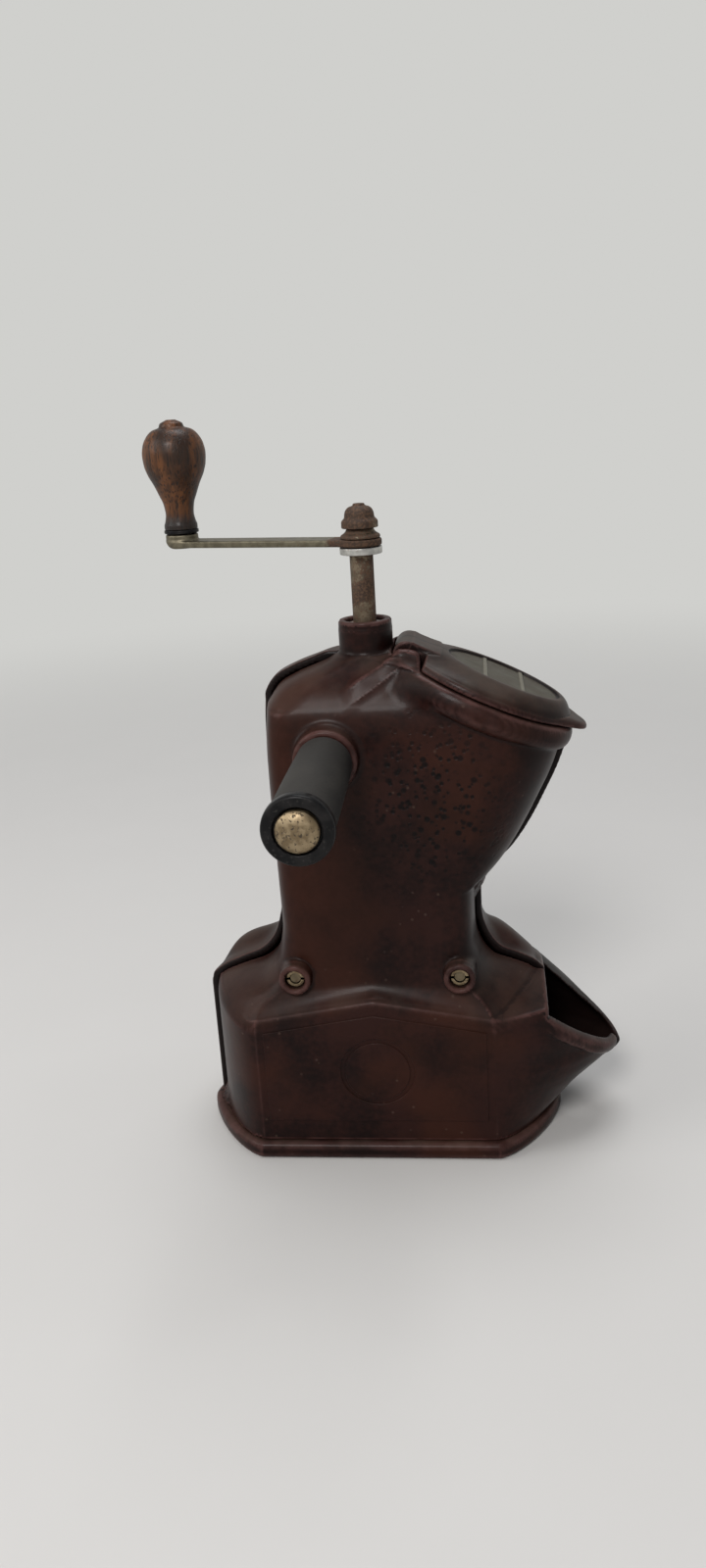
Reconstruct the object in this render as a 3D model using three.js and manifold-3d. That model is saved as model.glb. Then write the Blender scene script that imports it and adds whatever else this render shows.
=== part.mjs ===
// A hand coffee mill in two moulded half shells: crank on top, side grip, slanted hopper with a hinged
// lid, and a base that catches the coffee and pours it from a beak. Lengths are in millimetres. The crank
// turns about the Z axis, the beak and the hopper point along +X, and the shells meet in the plane y = 0.

import * as THREE from "three";
import { mergeVertices } from "three/addons/utils/BufferGeometryUtils.js";
import Module from "manifold-3d";

const wasm = await Module();
wasm.setup();

// Fits and walls
const fitGap = 0.3;
const shellWall = 3.2;
const overrun = 2;

// Foot tray
const footHeight = 7;
const footEndProud = 6.2;
const footProud = 3;
const footCorner = 48;
const footFloor = 3;
const footRound = 1.6;
const trayLip = 3;
const trayLipWall = 2.4;

// Base of the shells
const baseCentre = -2.1;
const baseHalfLength = 68.2;
const baseHalfDepth = 36.5;
const baseCorner = 46.5;
const ridgeHeight = 59.4;
const ridgeRound = 1.8;
const ridgeRise = 8.8;
const ridgeEndRise = 4.4;
const ridgeCorner = 50.5;
const beakFlare = 36.9;
const beakTipReach = 97;
const beakTipHeight = 32;
const beakSlope = THREE.MathUtils.degToRad(39.5);
const hoodReach = 66;

// Waist, bowl and roof of the shells
const waistFoot = 96;
const waistHalfWidth = 38.3;
const waistHalfDepth = 27.6;
const waistCorner = 22;
const bowlRise = 85;
const roofHalfWidth = 39.4;
const roofHalfDepth = 29.2;
const bowlReach = 74;
const roofRise = 19;
const neckFlare = 0.8;
const neckRadius = 10.1;
const neckRise = 12;
const neckSink = 13;
const neckTopRound = 0.8;

// How much the rear shell stands out past the front one, all round the seam
const seamLip = 2.7;

// Hopper mouth, measured in its slanted plane
const mouthCentre = 44;
const mouthRise = 3;
const mouthTilt = THREE.MathUtils.degToRad(25);
const cupHalfLength = 34.6;
const cupHalfWidth = 27.6;
const cupDepth = 15;
const mouthDepth = 24;
const beadProud = 3.6;
const beadHeight = 9.8;

// Lid and its hinge
const hingeReach = 15.8;
const hingeRise = 15.6;
const hingePinRadius = 1.2;
const humpRadius = 5.2;
const humpHalfLength = 11.2;
const earReach = 5;
const earRise = 2.6;
const earThickness = 3.4;
const earTail = 21.2;
const earTailDrop = 8.6;
const earTailSpread = 6;
const earSweep = THREE.MathUtils.degToRad(125);
const humpBridge = 11;
const lidHalfLength = 34.6;
const lidHalfWidth = 28.7;
const lidEdge = 3.3;
const lidCrown = 7.5;
const lidTabReach = 7.6;
const lidTabHalfWidth = 8;
const lidTabThickness = 2.5;
const lidHollow = 3.6;
const lidWall = 4;
const plaqueHalfLength = 24;
const plaqueHalfWidth = 18.5;
const plaqueOffset = 5;
const plaqueRim = 1.4;
const plaqueDepth = 0.8;
const plaqueRib = 1.6;
const plaqueRibSpacing = 15;

// Side grip and its through bolt
const gripX = -14.3;
const gripDrop = 15;
const gripBossRadius = 12;
const gripBossProud = 5.8;
const gripRootRadius = 10.4;
const gripRadius = 11;
const gripLength = 66;
const endRingRadius = 11.8;
const endRingLength = 4.6;
const endRingHole = 7.9;
const endRingSeat = 1.8;
const boltRadius = 3;
const boltPlay = 0.6;
const boltHeadRadius = 7.1;
const boltHeadDome = 2.6;
const pillarRadius = 6.6;
const rearBossRadius = 9;
const rearBossProud = 5.3;
const rearWasherRadius = 7.5;
const rearWasherThickness = 1.2;
const rearNutRadius = 6.2;
const rearNutHeight = 5;

// Screws that hold the shells together at the waist
const shellScrewX = 32;
const shellScrewZ = 77.3;
const screwBossRadius = 6.2;
const screwBossProud = 6.4;
const sleeveRadius = 3.7;
const sleeveLength = 19;
const sleeveRecess = 2.4;
const sleeveSlot = 1;
const sleeveSlotDepth = 1.2;
const shellScrewRadius = 2;
const shellScrewHeadRadius = 4;
const shellScrewHead = 2.6;
const shellScrewRecess = 4;
const shellScrewTipSink = 3;

// Foot screws and their posts
const postX = 42;
const postInset = 5.5;
const postRadius = 4.2;
const postTop = 30;
const footScrewRadius = 1.6;
const footScrewHeadRadius = 3.2;
const footScrewHead = 1.8;
const footScrewSink = 0.5;
const footScrewTip = 25;

// Panel and bare medallion on the base front
const panelTrim = 4.8;
const panelBottom = 16.5;
const panelHalfWidth = 43.8;
const reliefHeight = 0.5;
const medallionCentre = -1.3;
const medallionHeight = 38.8;
const medallionRadius = 14.6;
const medallionRing = 1.8;

// Neck bearing
const bushRadius = 7.2;
const bushLength = 21.4;
const bushDrop = 1.6;
const bushFlange = 1.3;
const bushFlangeHeight = 3;
const bushFlangeRise = 7;
const runningGap = 0.35;

// Crank
const shaftRadius = 4.4;
const studRadius = 3.4;
const crankAngle = THREE.MathUtils.degToRad(-15);
const crankLift = 24.3;
const washerRadius = 7.9;
const washerThickness = 2.6;
const armThickness = 2.6;
const armHalfWidth = 5.8;
const armHubRadius = 7.9;
const armReach = 74.2;
const armRise = 0.6;
const armTipRadius = 6.3;
const armTipRise = 2.5;
const armTipRound = 3.4;
const bossHeight = 3.4;
const bossRadius = 7.4;
const bossNeck = 5;
const nutFlangeRadius = 6.8;
const nutFlange = 3.3;
const nutDomeRadius = 5.4;
const nutHeight = 8;
const nutNub = 0.9;
const nutNubRadius = 2.2;
const ferruleRadius = 6.7;
const ferruleHeight = 1.4;
const knobHeight = 40.6;
const knobRadius = 12.1;
const knobBore = 2.6;
const knobPinRadius = 2.2;
const knobPinHead = 1.4;
const knobPinHeadRadius = 3.6;
const knobPinTop = 3.4;

// Burr set
const plateRise = 16;
const plateThickness = 3;
const ledgeHeight = 3.2;
const ledgeWidth = 3.6;
const housingRadius = 22;
const housingWall = 1.8;
const housingDrop = 17;
const housingLip = 2.2;
const housingLipWidth = 2.6;
const ringHeight = 13.5;
const coneHeight = 13;
const coneTopRadius = 9.4;
const coneBottomRadius = 14;
const grindGap = 0.8;
const toothDepth = 1.1;
const toothCount = 16;
const toothTwist = THREE.MathUtils.degToRad(24);
const conePinRadius = 1.3;
const conePinHalfLength = 7.6;

// Yoke, grind adjuster and thrust bearing
const yokeDrop = 27.5;
const yokeThickness = 4.5;
const yokeHalfWidth = 5.5;
const yokeLegInner = 22.6;
const yokeLegOuter = 28.6;
const yokeScrewRadius = 1.5;
const yokeScrewHead = 1.6;
const yokeScrewHeadRadius = 2.7;
const yokeScrewLength = 15;
const wheelRadius = 9.5;
const wheelHeight = 5.6;
const wheelNotch = 0.7;
const wheelNotches = 14;
const wheelHubRadius = 5;
const wheelHubAbove = 2;
const clipThickness = 1;
const clipGrooveDepth = 0.8;
const clipRadius = 6.8;
const thrustPinRadius = 2.7;
const thrustPinBelow = 2;
const thrustHeadRadius = 4.4;
const thrustHead = 2;
const thrustDimple = 0.8;
const thrustDimpleRadius = 2.2;
const ballRadius = 2.5;

// Places that follow from those sizes
const baseBottom = footHeight + fitGap;
const footHalfLength = baseHalfLength + footEndProud;
const footHalfDepth = baseHalfDepth + footProud;
const postY = baseHalfDepth - postInset;
const gripBossFace = roofHalfDepth + gripBossProud;
const rearBossFace = roofHalfDepth + rearBossProud;
const screwBossFace = waistHalfDepth + screwBossProud;
const shellScrewTip = screwBossFace - shellScrewTipSink;
const roofEdge = waistFoot + bowlRise;
const neckFoot = roofEdge + roofRise;
const neckTop = neckFoot + neckRise;
const neckRoot = neckFoot - neckSink;
const mouthHeight = roofEdge + mouthRise;
const hingeHeight = mouthHeight + hingeRise;
const gripZ = roofEdge - gripDrop;
const bushBottom = neckTop - bushDrop - bushLength;
const bushFlangeBottom = bushBottom + bushFlangeRise;
const plateBottom = waistFoot + plateRise;
const yokeBottom = plateBottom - yokeDrop;
const plateTop = plateBottom + plateThickness;
const yokeTop = yokeBottom + yokeThickness;
const pinHeadBottom = yokeTop + wheelHubAbove + fitGap;
const pinHeadTop = pinHeadBottom + thrustHead;
const ballHeight = pinHeadTop - thrustDimple + fitGap + ballRadius;
const shaftBottom = ballHeight + ballRadius + fitGap - thrustDimple;
const housingBottom = plateBottom - housingDrop;
const ringBottom = housingBottom + housingLip + fitGap;
const coneBottom = ringBottom + grindGap;
const washerBottom = neckTop + crankLift;
const armBottom = washerBottom + washerThickness + fitGap;
const bossBottom = armBottom + armThickness + fitGap;
const nutBottom = bossBottom + bossHeight + fitGap;
const armEndTop = armBottom + armRise + armThickness + armTipRise;
const ferruleBottom = armEndTop + fitGap;
const knobBottom = ferruleBottom + ferruleHeight + fitGap;
const gripStart = -gripBossFace - fitGap;
const gripEnd = gripStart - gripLength;
const endRingStart = gripEnd - fitGap;
const endRingEnd = endRingStart - endRingLength;
const gripBore = boltRadius + boltPlay;
const conePinHeight = coneBottom + 0.7 * coneHeight;

// Shares of the sizes above that give the shells their levels, from the base up
const endSteps = 4;
const crestSteps = 7;
const pointedPower = 1.6;
const squarePower = 4;
const roundPower = 2;
const footPower = 1.4;
const slopeShare = 0.7;
// height up the base, reach of the beak's flare, and power of its end
const beakShares = [
  [0, 0.08, 1.5], [0.1, 0.22, 1.5], [0.26, 0.43, 1.5], [0.38, 0.63, 1.5], [0.45, 0.74, 1.5],
  [0.53, 0.81, 1.5], [0.65, 0.93, 1.4], [0.78, 0.98, 1.4], [0.95, 1, 1.3],
];
// height up the shoulder; left end, right end, depth and corner drawn in; gable kept; powers of the ends
const shoulderShares = [
  [0, 0.03, 0.01, 0.12, 0.01, 1, 1.5, 1.25],
  [0.042, 0.09, 0.618, 0.26, 0.036, 0.97, 1.6, 1.2],
  [0.119, 0.21, 0.668, 0.44, 0.107, 0.76, 1.8, 1.25],
  [0.223, 0.431, 0.77, 0.625, 0.25, 0.5, 2.1, 1.5],
  [0.326, 0.681, 0.884, 0.77, 0.46, 0.3, 2.4, 2],
  [0.456, 0.828, 0.938, 0.86, 0.68, 0.1, 2.8, 2.6],
  [0.585, 0.906, 0.971, 0.94, 0.82, 0, 3.3, 3.3],
  [0.767, 0.965, 0.996, 0.98, 0.93, 0, 3.8, 3.8],
  [1, 1, 1, 1, 1, 0, 4, 4],
];
// height up the body, reach of the bowl, and power of its end
const bowlShares = [
  [0.147, 0.01, 3.8], [0.171, 0.075, 3.2], [0.2, 0.174, 2.7], [0.26, 0.325, 2.3], [0.34, 0.465, 2.1],
  [0.44, 0.605, 2], [0.55, 0.735, 2], [0.67, 0.868, 2], [0.78, 0.955, 2], [0.9, 1, 2], [1, 1, 2],
];
// height up the roof; left end, right end, depth and corners drawn in; power of the left end
const roofShares = [
  [0.105, 0.018, 0.064, 0.05, 0, 3.6],
  [0.21, 0.05, 0.16, 0.15, 0.05, 3.2],
  [0.42, 0.178, 0.447, 0.38, 0.2, 2.7],
  [0.63, 0.452, 0.7, 0.62, 0.45, 2.3],
  [0.87, 0.86, 0.925, 0.88, 0.8, 2],
  [1, 1, 1, 1, 1, 2],
];
// height up the turned knob, and radius
const knobShares = [
  [0, 0.53], [0.03, 0.53], [0.075, 0.485], [0.14, 0.45], [0.23, 0.487], [0.32, 0.6], [0.415, 0.73],
  [0.505, 0.88], [0.6, 0.975], [0.69, 1], [0.78, 0.95], [0.87, 0.78], [0.91, 0.62], [0.935, 0.4],
  [0.965, 0.36], [1, 0.14],
];

const mix = THREE.MathUtils.lerp;

// Solids: a closed mesh with shared corners and faces that point out
function closedMesh(geometry) {
  const bare = geometry.clone();
  bare.deleteAttribute("normal");
  bare.deleteAttribute("uv");
  const merged = mergeVertices(bare);
  const corners = merged.index.array;
  const faces = [];
  let volume = 0;
  const [p, q, r] = [new THREE.Vector3(), new THREE.Vector3(), new THREE.Vector3()];
  for (let i = 0; i < corners.length; i += 3) {
    const [a, b, c] = corners.slice(i, i + 3);
    if (a === b || b === c || c === a) continue;
    faces.push([a, b, c]);
    p.fromBufferAttribute(merged.attributes.position, a);
    q.fromBufferAttribute(merged.attributes.position, b);
    r.fromBufferAttribute(merged.attributes.position, c);
    volume += p.dot(q.cross(r));
  }
  if (volume < 0) faces.forEach((face) => face.reverse());
  merged.setIndex(faces.flat());
  return merged;
}

function solid(geometry) {
  const mesh = closedMesh(geometry);
  return new wasm.Manifold(
    new wasm.Mesh({
      numProp: 3,
      vertProperties: new Float32Array(mesh.attributes.position.array),
      triVerts: new Uint32Array(mesh.index.array),
    }),
  );
}

function geometryOf(body) {
  const mesh = body.getMesh();
  const geometry = new THREE.BufferGeometry();
  geometry.setAttribute("position", new THREE.BufferAttribute(mesh.vertProperties, mesh.numProp));
  geometry.setIndex(new THREE.BufferAttribute(mesh.triVerts, 1));
  geometry.computeVertexNormals();
  return geometry;
}

const join = (body, ...more) => more.reduce((whole, piece) => whole.add(piece), body);
const cut = (body, ...tools) => tools.reduce((rest, tool) => rest.subtract(tool), body);

// Rods, blocks and turned pieces
function rodZ(radius, low, high, x = 0, y = 0, sides = 16) {
  const rod = new THREE.CylinderGeometry(radius, radius, high - low, sides);
  return solid(rod.rotateX(Math.PI / 2).translate(x, y, (low + high) / 2));
}

function rodY(radius, x, z, low, high, sides = 16) {
  const rod = new THREE.CylinderGeometry(radius, radius, high - low, sides);
  return solid(rod.translate(x, (low + high) / 2, z));
}

function rodX(radius, low, high, z, sides = 12) {
  const rod = new THREE.CylinderGeometry(radius, radius, high - low, sides);
  return solid(rod.rotateZ(Math.PI / 2).translate((low + high) / 2, 0, z));
}

function block(low, high) {
  const [width, depth, height] = high.map((end, i) => end - low[i]);
  const middle = high.map((end, i) => (end + low[i]) / 2);
  return solid(new THREE.BoxGeometry(width, depth, height).translate(...middle));
}

function turned(profile, sides = 20) {
  const points = profile.map(([radius, height]) => new THREE.Vector2(radius, height));
  return new THREE.LatheGeometry(points, sides).rotateX(Math.PI / 2);
}

// A solid through level rings of equal counts, closed at both ends
function loft(rings) {
  const count = rings[0].length;
  const positions = rings.flat().flatMap((point) => point.toArray());
  const faces = [];
  for (let level = 0; level < rings.length - 1; level++) {
    for (let i = 0; i < count; i++) {
      const [a, b] = [level * count + i, level * count + ((i + 1) % count)];
      faces.push(a, b, b + count, a, b + count, a + count);
    }
  }
  for (const level of [0, rings.length - 1]) {
    const middle = rings[level].reduce((sum, p) => sum.add(p), new THREE.Vector3()).divideScalar(count);
    const hub = positions.length / 3;
    positions.push(...middle.toArray());
    for (let i = 0; i < count; i++) {
      const [a, b] = [level * count + i, level * count + ((i + 1) % count)];
      faces.push(...(level ? [a, b, hub] : [b, a, hub]));
    }
  }
  const geometry = new THREE.BufferGeometry();
  geometry.setAttribute("position", new THREE.Float32BufferAttribute(positions, 3));
  geometry.setIndex(faces);
  return geometry;
}

// A flat shape given as points of x and z, with its thickness along y
function plateXZ(points, low, high) {
  const shape = new THREE.Shape(points.map(([x, z]) => new THREE.Vector2(x, z)));
  const plate = new THREE.ExtrudeGeometry(shape, { depth: high - low, bevelEnabled: false });
  return solid(plate.rotateX(Math.PI / 2).translate(0, high, 0));
}

// The outline of the shells at one level: straight front and back, with pointed, round or square ends
function levelRing(level) {
  const half = [];
  const end = (reach, corner, power, turn) => [
    corner + (reach - corner) * Math.max(0, Math.cos(turn)) ** (2 / power),
    level.depth * Math.sin(turn) ** (2 / power),
  ];
  for (let i = 0; i <= endSteps; i++) {
    half.push(end(level.right, level.cornerRight, level.powerRight, ((i / endSteps) * Math.PI) / 2));
  }
  half.push([level.cornerRight / 2, level.depth], [0, level.depth], [-level.cornerLeft / 2, level.depth]);
  for (let i = endSteps; i >= 0; i--) {
    const [x, y] = end(level.left, level.cornerLeft, level.powerLeft, ((i / endSteps) * Math.PI) / 2);
    half.push([-x, y]);
  }
  const front = half.slice(1, -1).reverse();
  const outline = [...half, ...front.map(([x, y]) => [x, -y])];
  return outline.map(([x, y]) => new THREE.Vector3(x, y, level.height + gable(level, x)));
}

// The front ridge rises to its middle, and again along the slanted ends
function gable(level, x) {
  if (!level.gable) return 0;
  const [reach, corner] = x > baseCentre ? [level.right, level.cornerRight] : [level.left, level.cornerLeft];
  const low = (corner * ridgeCorner) / baseCorner;
  const away = Math.abs(x - baseCentre) / Math.abs(Math.sign(x - baseCentre) * low - baseCentre);
  if (away <= 1) return level.gable * ridgeRise * (1 - away);
  return (level.gable * ridgeEndRise * (Math.abs(x) - low)) / (reach - low);
}

function baseLevel(height, rightReach) {
  return {
    height, left: baseHalfLength - baseCentre, right: rightReach, depth: baseHalfDepth,
    cornerLeft: baseCorner - baseCentre, cornerRight: baseCorner + baseCentre,
    powerLeft: pointedPower, powerRight: pointedPower, gable: 0, drop: 0,
  };
}

function shellLevels() {
  const levels = [];
  const ridgeFoot = ridgeHeight - ridgeRound;
  const [leftReach, rightReach] = [baseHalfLength - baseCentre, baseHalfLength + baseCentre];
  for (const [up, reach, power] of beakShares) {
    levels.push({
      ...baseLevel(mix(baseBottom, ridgeFoot, up), rightReach + reach * beakFlare),
      powerRight: power, gable: up ** 3,
    });
  }
  for (const [up, left, right, depth, corner, kept, powerLeft, powerRight] of shoulderShares) {
    levels.push({
      height: mix(ridgeHeight, waistFoot, up),
      left: mix(leftReach, waistHalfWidth, left),
      right: mix(rightReach + beakFlare, waistHalfWidth, right),
      depth: mix(baseHalfDepth, waistHalfDepth, depth),
      cornerLeft: mix(baseCorner - baseCentre, waistCorner, corner),
      cornerRight: mix(baseCorner + baseCentre, waistCorner, corner),
      powerLeft, powerRight, gable: kept,
      drop: 4 * up * (1 - up),
    });
  }
  for (const [up, reach, power] of bowlShares) {
    levels.push({
      height: mix(waistFoot, roofEdge, up),
      left: mix(waistHalfWidth, roofHalfWidth, up),
      right: mix(waistHalfWidth, bowlReach, reach),
      depth: mix(waistHalfDepth, roofHalfDepth, up),
      cornerLeft: waistCorner,
      cornerRight: mix(waistCorner, mouthCentre, reach),
      powerLeft: squarePower, powerRight: power, gable: 0,
      drop: -(1 - reach) * reach,
    });
  }
  for (const [up, left, right, depth, corner, power] of roofShares) {
    levels.push({
      height: mix(roofEdge, neckFoot, up),
      left: mix(roofHalfWidth, neckRadius + neckFlare, left),
      right: mix(bowlReach, neckRadius + neckFlare, right),
      depth: mix(roofHalfDepth, neckRadius + neckFlare, depth),
      cornerLeft: mix(waistCorner, 0, corner),
      cornerRight: mix(mouthCentre, 0, corner),
      powerLeft: power, powerRight: roundPower, gable: 0,
      drop: Math.min(slopeShare, 3 * up),
    });
  }
  return levels;
}

// The same level, a wall further in
function inset(level, wall) {
  const endWall = (reach, corner, power) =>
    power < roundPower ? (wall * Math.hypot(reach - corner, level.depth)) / level.depth : wall;
  return {
    ...level,
    height: level.height - level.drop * wall,
    left: level.left - endWall(level.left, level.cornerLeft, level.powerLeft),
    right: level.right - endWall(level.right, level.cornerRight, level.powerRight),
    depth: level.depth - wall,
    cornerLeft: Math.max(0, level.cornerLeft - wall / 2),
    cornerRight: Math.max(0, level.cornerRight - wall / 2),
  };
}

// The level at any height, for what is fitted inside the shells
function levelAt(levels, height) {
  const above = levels.findIndex((level) => level.height > height);
  const [low, high] = [levels[above - 1], levels[above]];
  const share = (height - low.height) / (high.height - low.height);
  const between = {};
  for (const key of Object.keys(low)) between[key] = mix(low[key], high[key], share);
  return { ...between, height };
}

// A solid whose rear half is larger by the seam's step
const farOut = [footHalfLength + beakFlare, footHalfDepth + gripLength, neckTop + overrun];
const frontHalf = block([-farOut[0], -farOut[1], -overrun], [farOut[0], shellWall / 2, farOut[2]]);
const rearHalf = block([-farOut[0], 0, -overrun], farOut);

function halved(make) {
  return join(make(0).intersect(frontHalf), make(seamLip).intersect(rearHalf));
}

// The shell's shape between two heights, a wall further in
function slice(levels, low, high, wall) {
  return halved((grow) => {
    const inner = levels.map((level) => inset(level, wall - grow));
    const heights = [low, ...inner.map((level) => level.height).filter((z) => z > low && z < high), high];
    return solid(loft(heights.map((z) => levelRing(levelAt(inner, z)))));
  });
}

// The slanted plane of the mouth: its own x runs down the slope, its own z stands square to it
const mouthFrame = new THREE.Matrix4()
  .makeTranslation(mouthCentre, 0, mouthHeight)
  .multiply(new THREE.Matrix4().makeRotationY(mouthTilt));

function ovalRing(halfLength, halfWidth, height, centre = 0, steps = 28) {
  return Array.from({ length: steps }, (_, i) => {
    const turn = (i / steps) * 2 * Math.PI;
    return new THREE.Vector3(centre + halfLength * Math.cos(turn), halfWidth * Math.sin(turn), height);
  });
}

function ovalSolid(rows) {
  return solid(loft(rows.map(([out, height]) => ovalRing(cupHalfLength + out, cupHalfWidth + out, height)))
    .applyMatrix4(mouthFrame));
}

// The shells
const levels = shellLevels();

function outerBody() {
  const bead = ovalSolid([
    [0, -beadHeight - overrun],
    [0, -beadHeight],
    [0.75 * beadProud, -0.85 * beadHeight],
    [beadProud, -0.55 * beadHeight],
    [0.85 * beadProud, -0.2 * beadHeight],
    [0.4 * beadProud, 0],
  ]);
  const cup = ovalSolid([[0, -cupDepth], [0, 0]]);
  const gripBoss = rodY(gripBossRadius, gripX, gripZ, -gripBossFace, 0, 24);
  const rearBoss = rodY(rearBossRadius, gripX, gripZ, 0, rearBossFace);
  const ears = [-1, 1].map((side) => ear(side));
  const body = halved((grow) => solid(loft(levels.map((level) => levelRing(inset(level, -grow))))));
  const whole = join(body, cup, bead, gripBoss, rearBoss);
  const aboveMouth = block(
    [-cupHalfLength - overrun, -footHalfDepth, 0],
    [footHalfLength, footHalfDepth, neckTop],
  );
  const nearNeck = block(
    [-footHalfLength, -footHalfDepth, 0],
    [neckRadius + fitGap, footHalfDepth, neckTop + overrun],
  );
  const slant = cut(solid(geometryOf(aboveMouth).applyMatrix4(mouthFrame)), nearNeck);
  return join(cut(whole, slant), ...ears);
}

// A hinge ear, with a tail that runs down the roof and spreads outwards
function ear(side) {
  const near = humpHalfLength + fitGap;
  const crest = Array.from({ length: crestSteps + 1 }, (_, i) => {
    const turn = (earSweep * i) / crestSteps;
    return [hingeReach + earReach * Math.cos(turn), hingeHeight + earRise * Math.sin(turn), 0];
  });
  crest.push([hingeReach - earTail, hingeHeight - earTailDrop, earTailSpread]);
  return solid(loft(crest.map(([x, top, spread]) => [
    new THREE.Vector3(x, side * (near + spread), neckRoot),
    new THREE.Vector3(x, side * (near + earThickness + spread), neckRoot),
    new THREE.Vector3(x, side * (near + earThickness + spread), top),
    new THREE.Vector3(x, side * (near + spread), top),
  ])));
}

// The beak's opening: above its slanted rim, and beyond the hood of the shoulder
function beakOpening() {
  const rise = Math.tan(beakSlope);
  const top = waistFoot;
  const rimAt = (x) => beakTipHeight + (beakTipReach - x) * rise;
  const far = baseHalfLength + beakFlare + seamLip + overrun;
  return plateXZ(
    [[hoodReach, rimAt(hoodReach)], [far, rimAt(far)], [far, top], [hoodReach, top]],
    -footHalfDepth, footHalfDepth,
  );
}

function cavity() {
  const body = halved((grow) => {
    const inner = levels.slice(0, -1).filter((_, i) => i % 3).map((level) => inset(level, shellWall - grow));
    const foot = inset({ ...levels[0], height: baseBottom - overrun }, shellWall - grow);
    return solid(loft([foot, ...inner].map(levelRing)));
  });
  const mouth = ovalSolid([[-shellWall, -mouthDepth], [-shellWall, overrun]]);
  return body.add(mouth);
}

// Ledges that hold the burr plate, and posts for the foot screws
function ledge(low, high) {
  const within = slice(levels, low - overrun, high + overrun, shellWall + ledgeWidth);
  const aroundTube = rodZ(housingRadius + fitGap, 0, neckTop, 0, 0, 32);
  return cut(slice(levels, low, high, shellWall / 2), within, aroundTube);
}

function eachPost(make) {
  return [-1, 1].flatMap((side) => [make(side * postX, -postY), make(side * postX, postY + seamLip)]);
}

function shellBody() {
  const hollow = cut(outerBody(), cavity(), beakOpening(), hingeClearance());
  const pillar = rodY(pillarRadius, gripX, gripZ, -roofHalfDepth + shellWall / 2, roofHalfDepth);
  const bosses = [-1, 1].map((side) =>
    rodY(screwBossRadius, side * shellScrewX, shellScrewZ, -screwBossFace, screwBossFace));
  const neck = solid(turned([
    [0, neckRoot], [neckRadius, neckRoot], [neckRadius, neckTop - neckTopRound],
    [neckRadius - neckTopRound, neckTop], [0, neckTop],
  ]));
  const posts = eachPost((x, y) => rodZ(postRadius, footHeight + trayLip + fitGap, postTop, x, y, 12));
  const ledges = [
    ledge(plateBottom - fitGap - ledgeHeight, plateBottom - fitGap),
    ledge(plateTop + fitGap, plateTop + fitGap + ledgeHeight),
  ];
  const whole = join(hollow, pillar, neck, ...bosses, ...posts, ...ledges);
  return cut(whole, ...shellBores());
}

function hingeClearance() {
  const reach = humpHalfLength + fitGap;
  return rodY(humpRadius + fitGap, hingeReach, hingeHeight, -reach, reach, 16);
}

function shellBores() {
  const bushBore = solid(turned([
    [0, neckRoot - overrun],
    [bushRadius + fitGap, neckRoot - overrun],
    [bushRadius + fitGap, bushFlangeBottom - fitGap],
    [bushRadius + bushFlange + fitGap, bushFlangeBottom - fitGap],
    [bushRadius + bushFlange + fitGap, bushFlangeBottom + bushFlangeHeight + fitGap],
    [bushRadius + fitGap, bushFlangeBottom + bushFlangeHeight + fitGap],
    [bushRadius + fitGap, neckTop + overrun],
    [0, neckTop + overrun],
  ]));
  const earFar = humpHalfLength + earThickness + overrun;
  const screwBores = [-1, 1].flatMap((side) => [
    rodY(shellScrewRadius + fitGap, side * shellScrewX, shellScrewZ, -screwBossFace, screwBossFace, 14),
    rodY(sleeveRadius + fitGap, side * shellScrewX, shellScrewZ, -screwBossFace - overrun,
      -screwBossFace + sleeveRecess + sleeveLength + fitGap, 16),
    rodY(shellScrewHeadRadius + fitGap, side * shellScrewX, shellScrewZ, screwBossFace - shellScrewRecess,
      screwBossFace + overrun, 16),
  ]);
  return [
    bushBore,
    rodY(hingePinRadius + fitGap, hingeReach, hingeHeight, -earFar, earFar, 12),
    rodY(boltRadius + fitGap, gripX, gripZ, -gripBossFace - overrun, rearBossFace + overrun, 16),
    ...screwBores,
    ...eachPost((x, y) => rodZ(footScrewRadius + fitGap, 0, footScrewTip + overrun, x, y, 8)),
  ];
}

// The raised panel under the ridge, with a sunk ring round a bare medallion
function relief() {
  const face = -baseHalfDepth;
  const lowEnd = ridgeHeight - panelTrim;
  const cornerTop = lowEnd + ridgeRise * (1 - panelHalfWidth / ridgeCorner);
  const [left, right] = [baseCentre - panelHalfWidth, baseCentre + panelHalfWidth];
  const panel = plateXZ([
    [left, panelBottom], [right, panelBottom], [right, cornerTop], [baseCentre, lowEnd + ridgeRise],
    [left, cornerTop],
  ], face - reliefHeight, face + shellWall / 2);
  const ring = cut(
    rodY(medallionRadius, medallionCentre, medallionHeight, face - shellWall, face, 28),
    rodY(medallionRadius - medallionRing, medallionCentre, medallionHeight, face - shellWall, face, 28),
  );
  return cut(panel, ring);
}

const wholeShell = shellBody();
const frontSide = block([-farOut[0], -farOut[1], 0], [farOut[0], -fitGap / 2, farOut[2]]);
const rearSide = block([-farOut[0], fitGap / 2, 0], farOut);
const frontShell = join(wholeShell.intersect(frontSide), relief());
const rearShell = wholeShell.intersect(rearSide);

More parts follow.
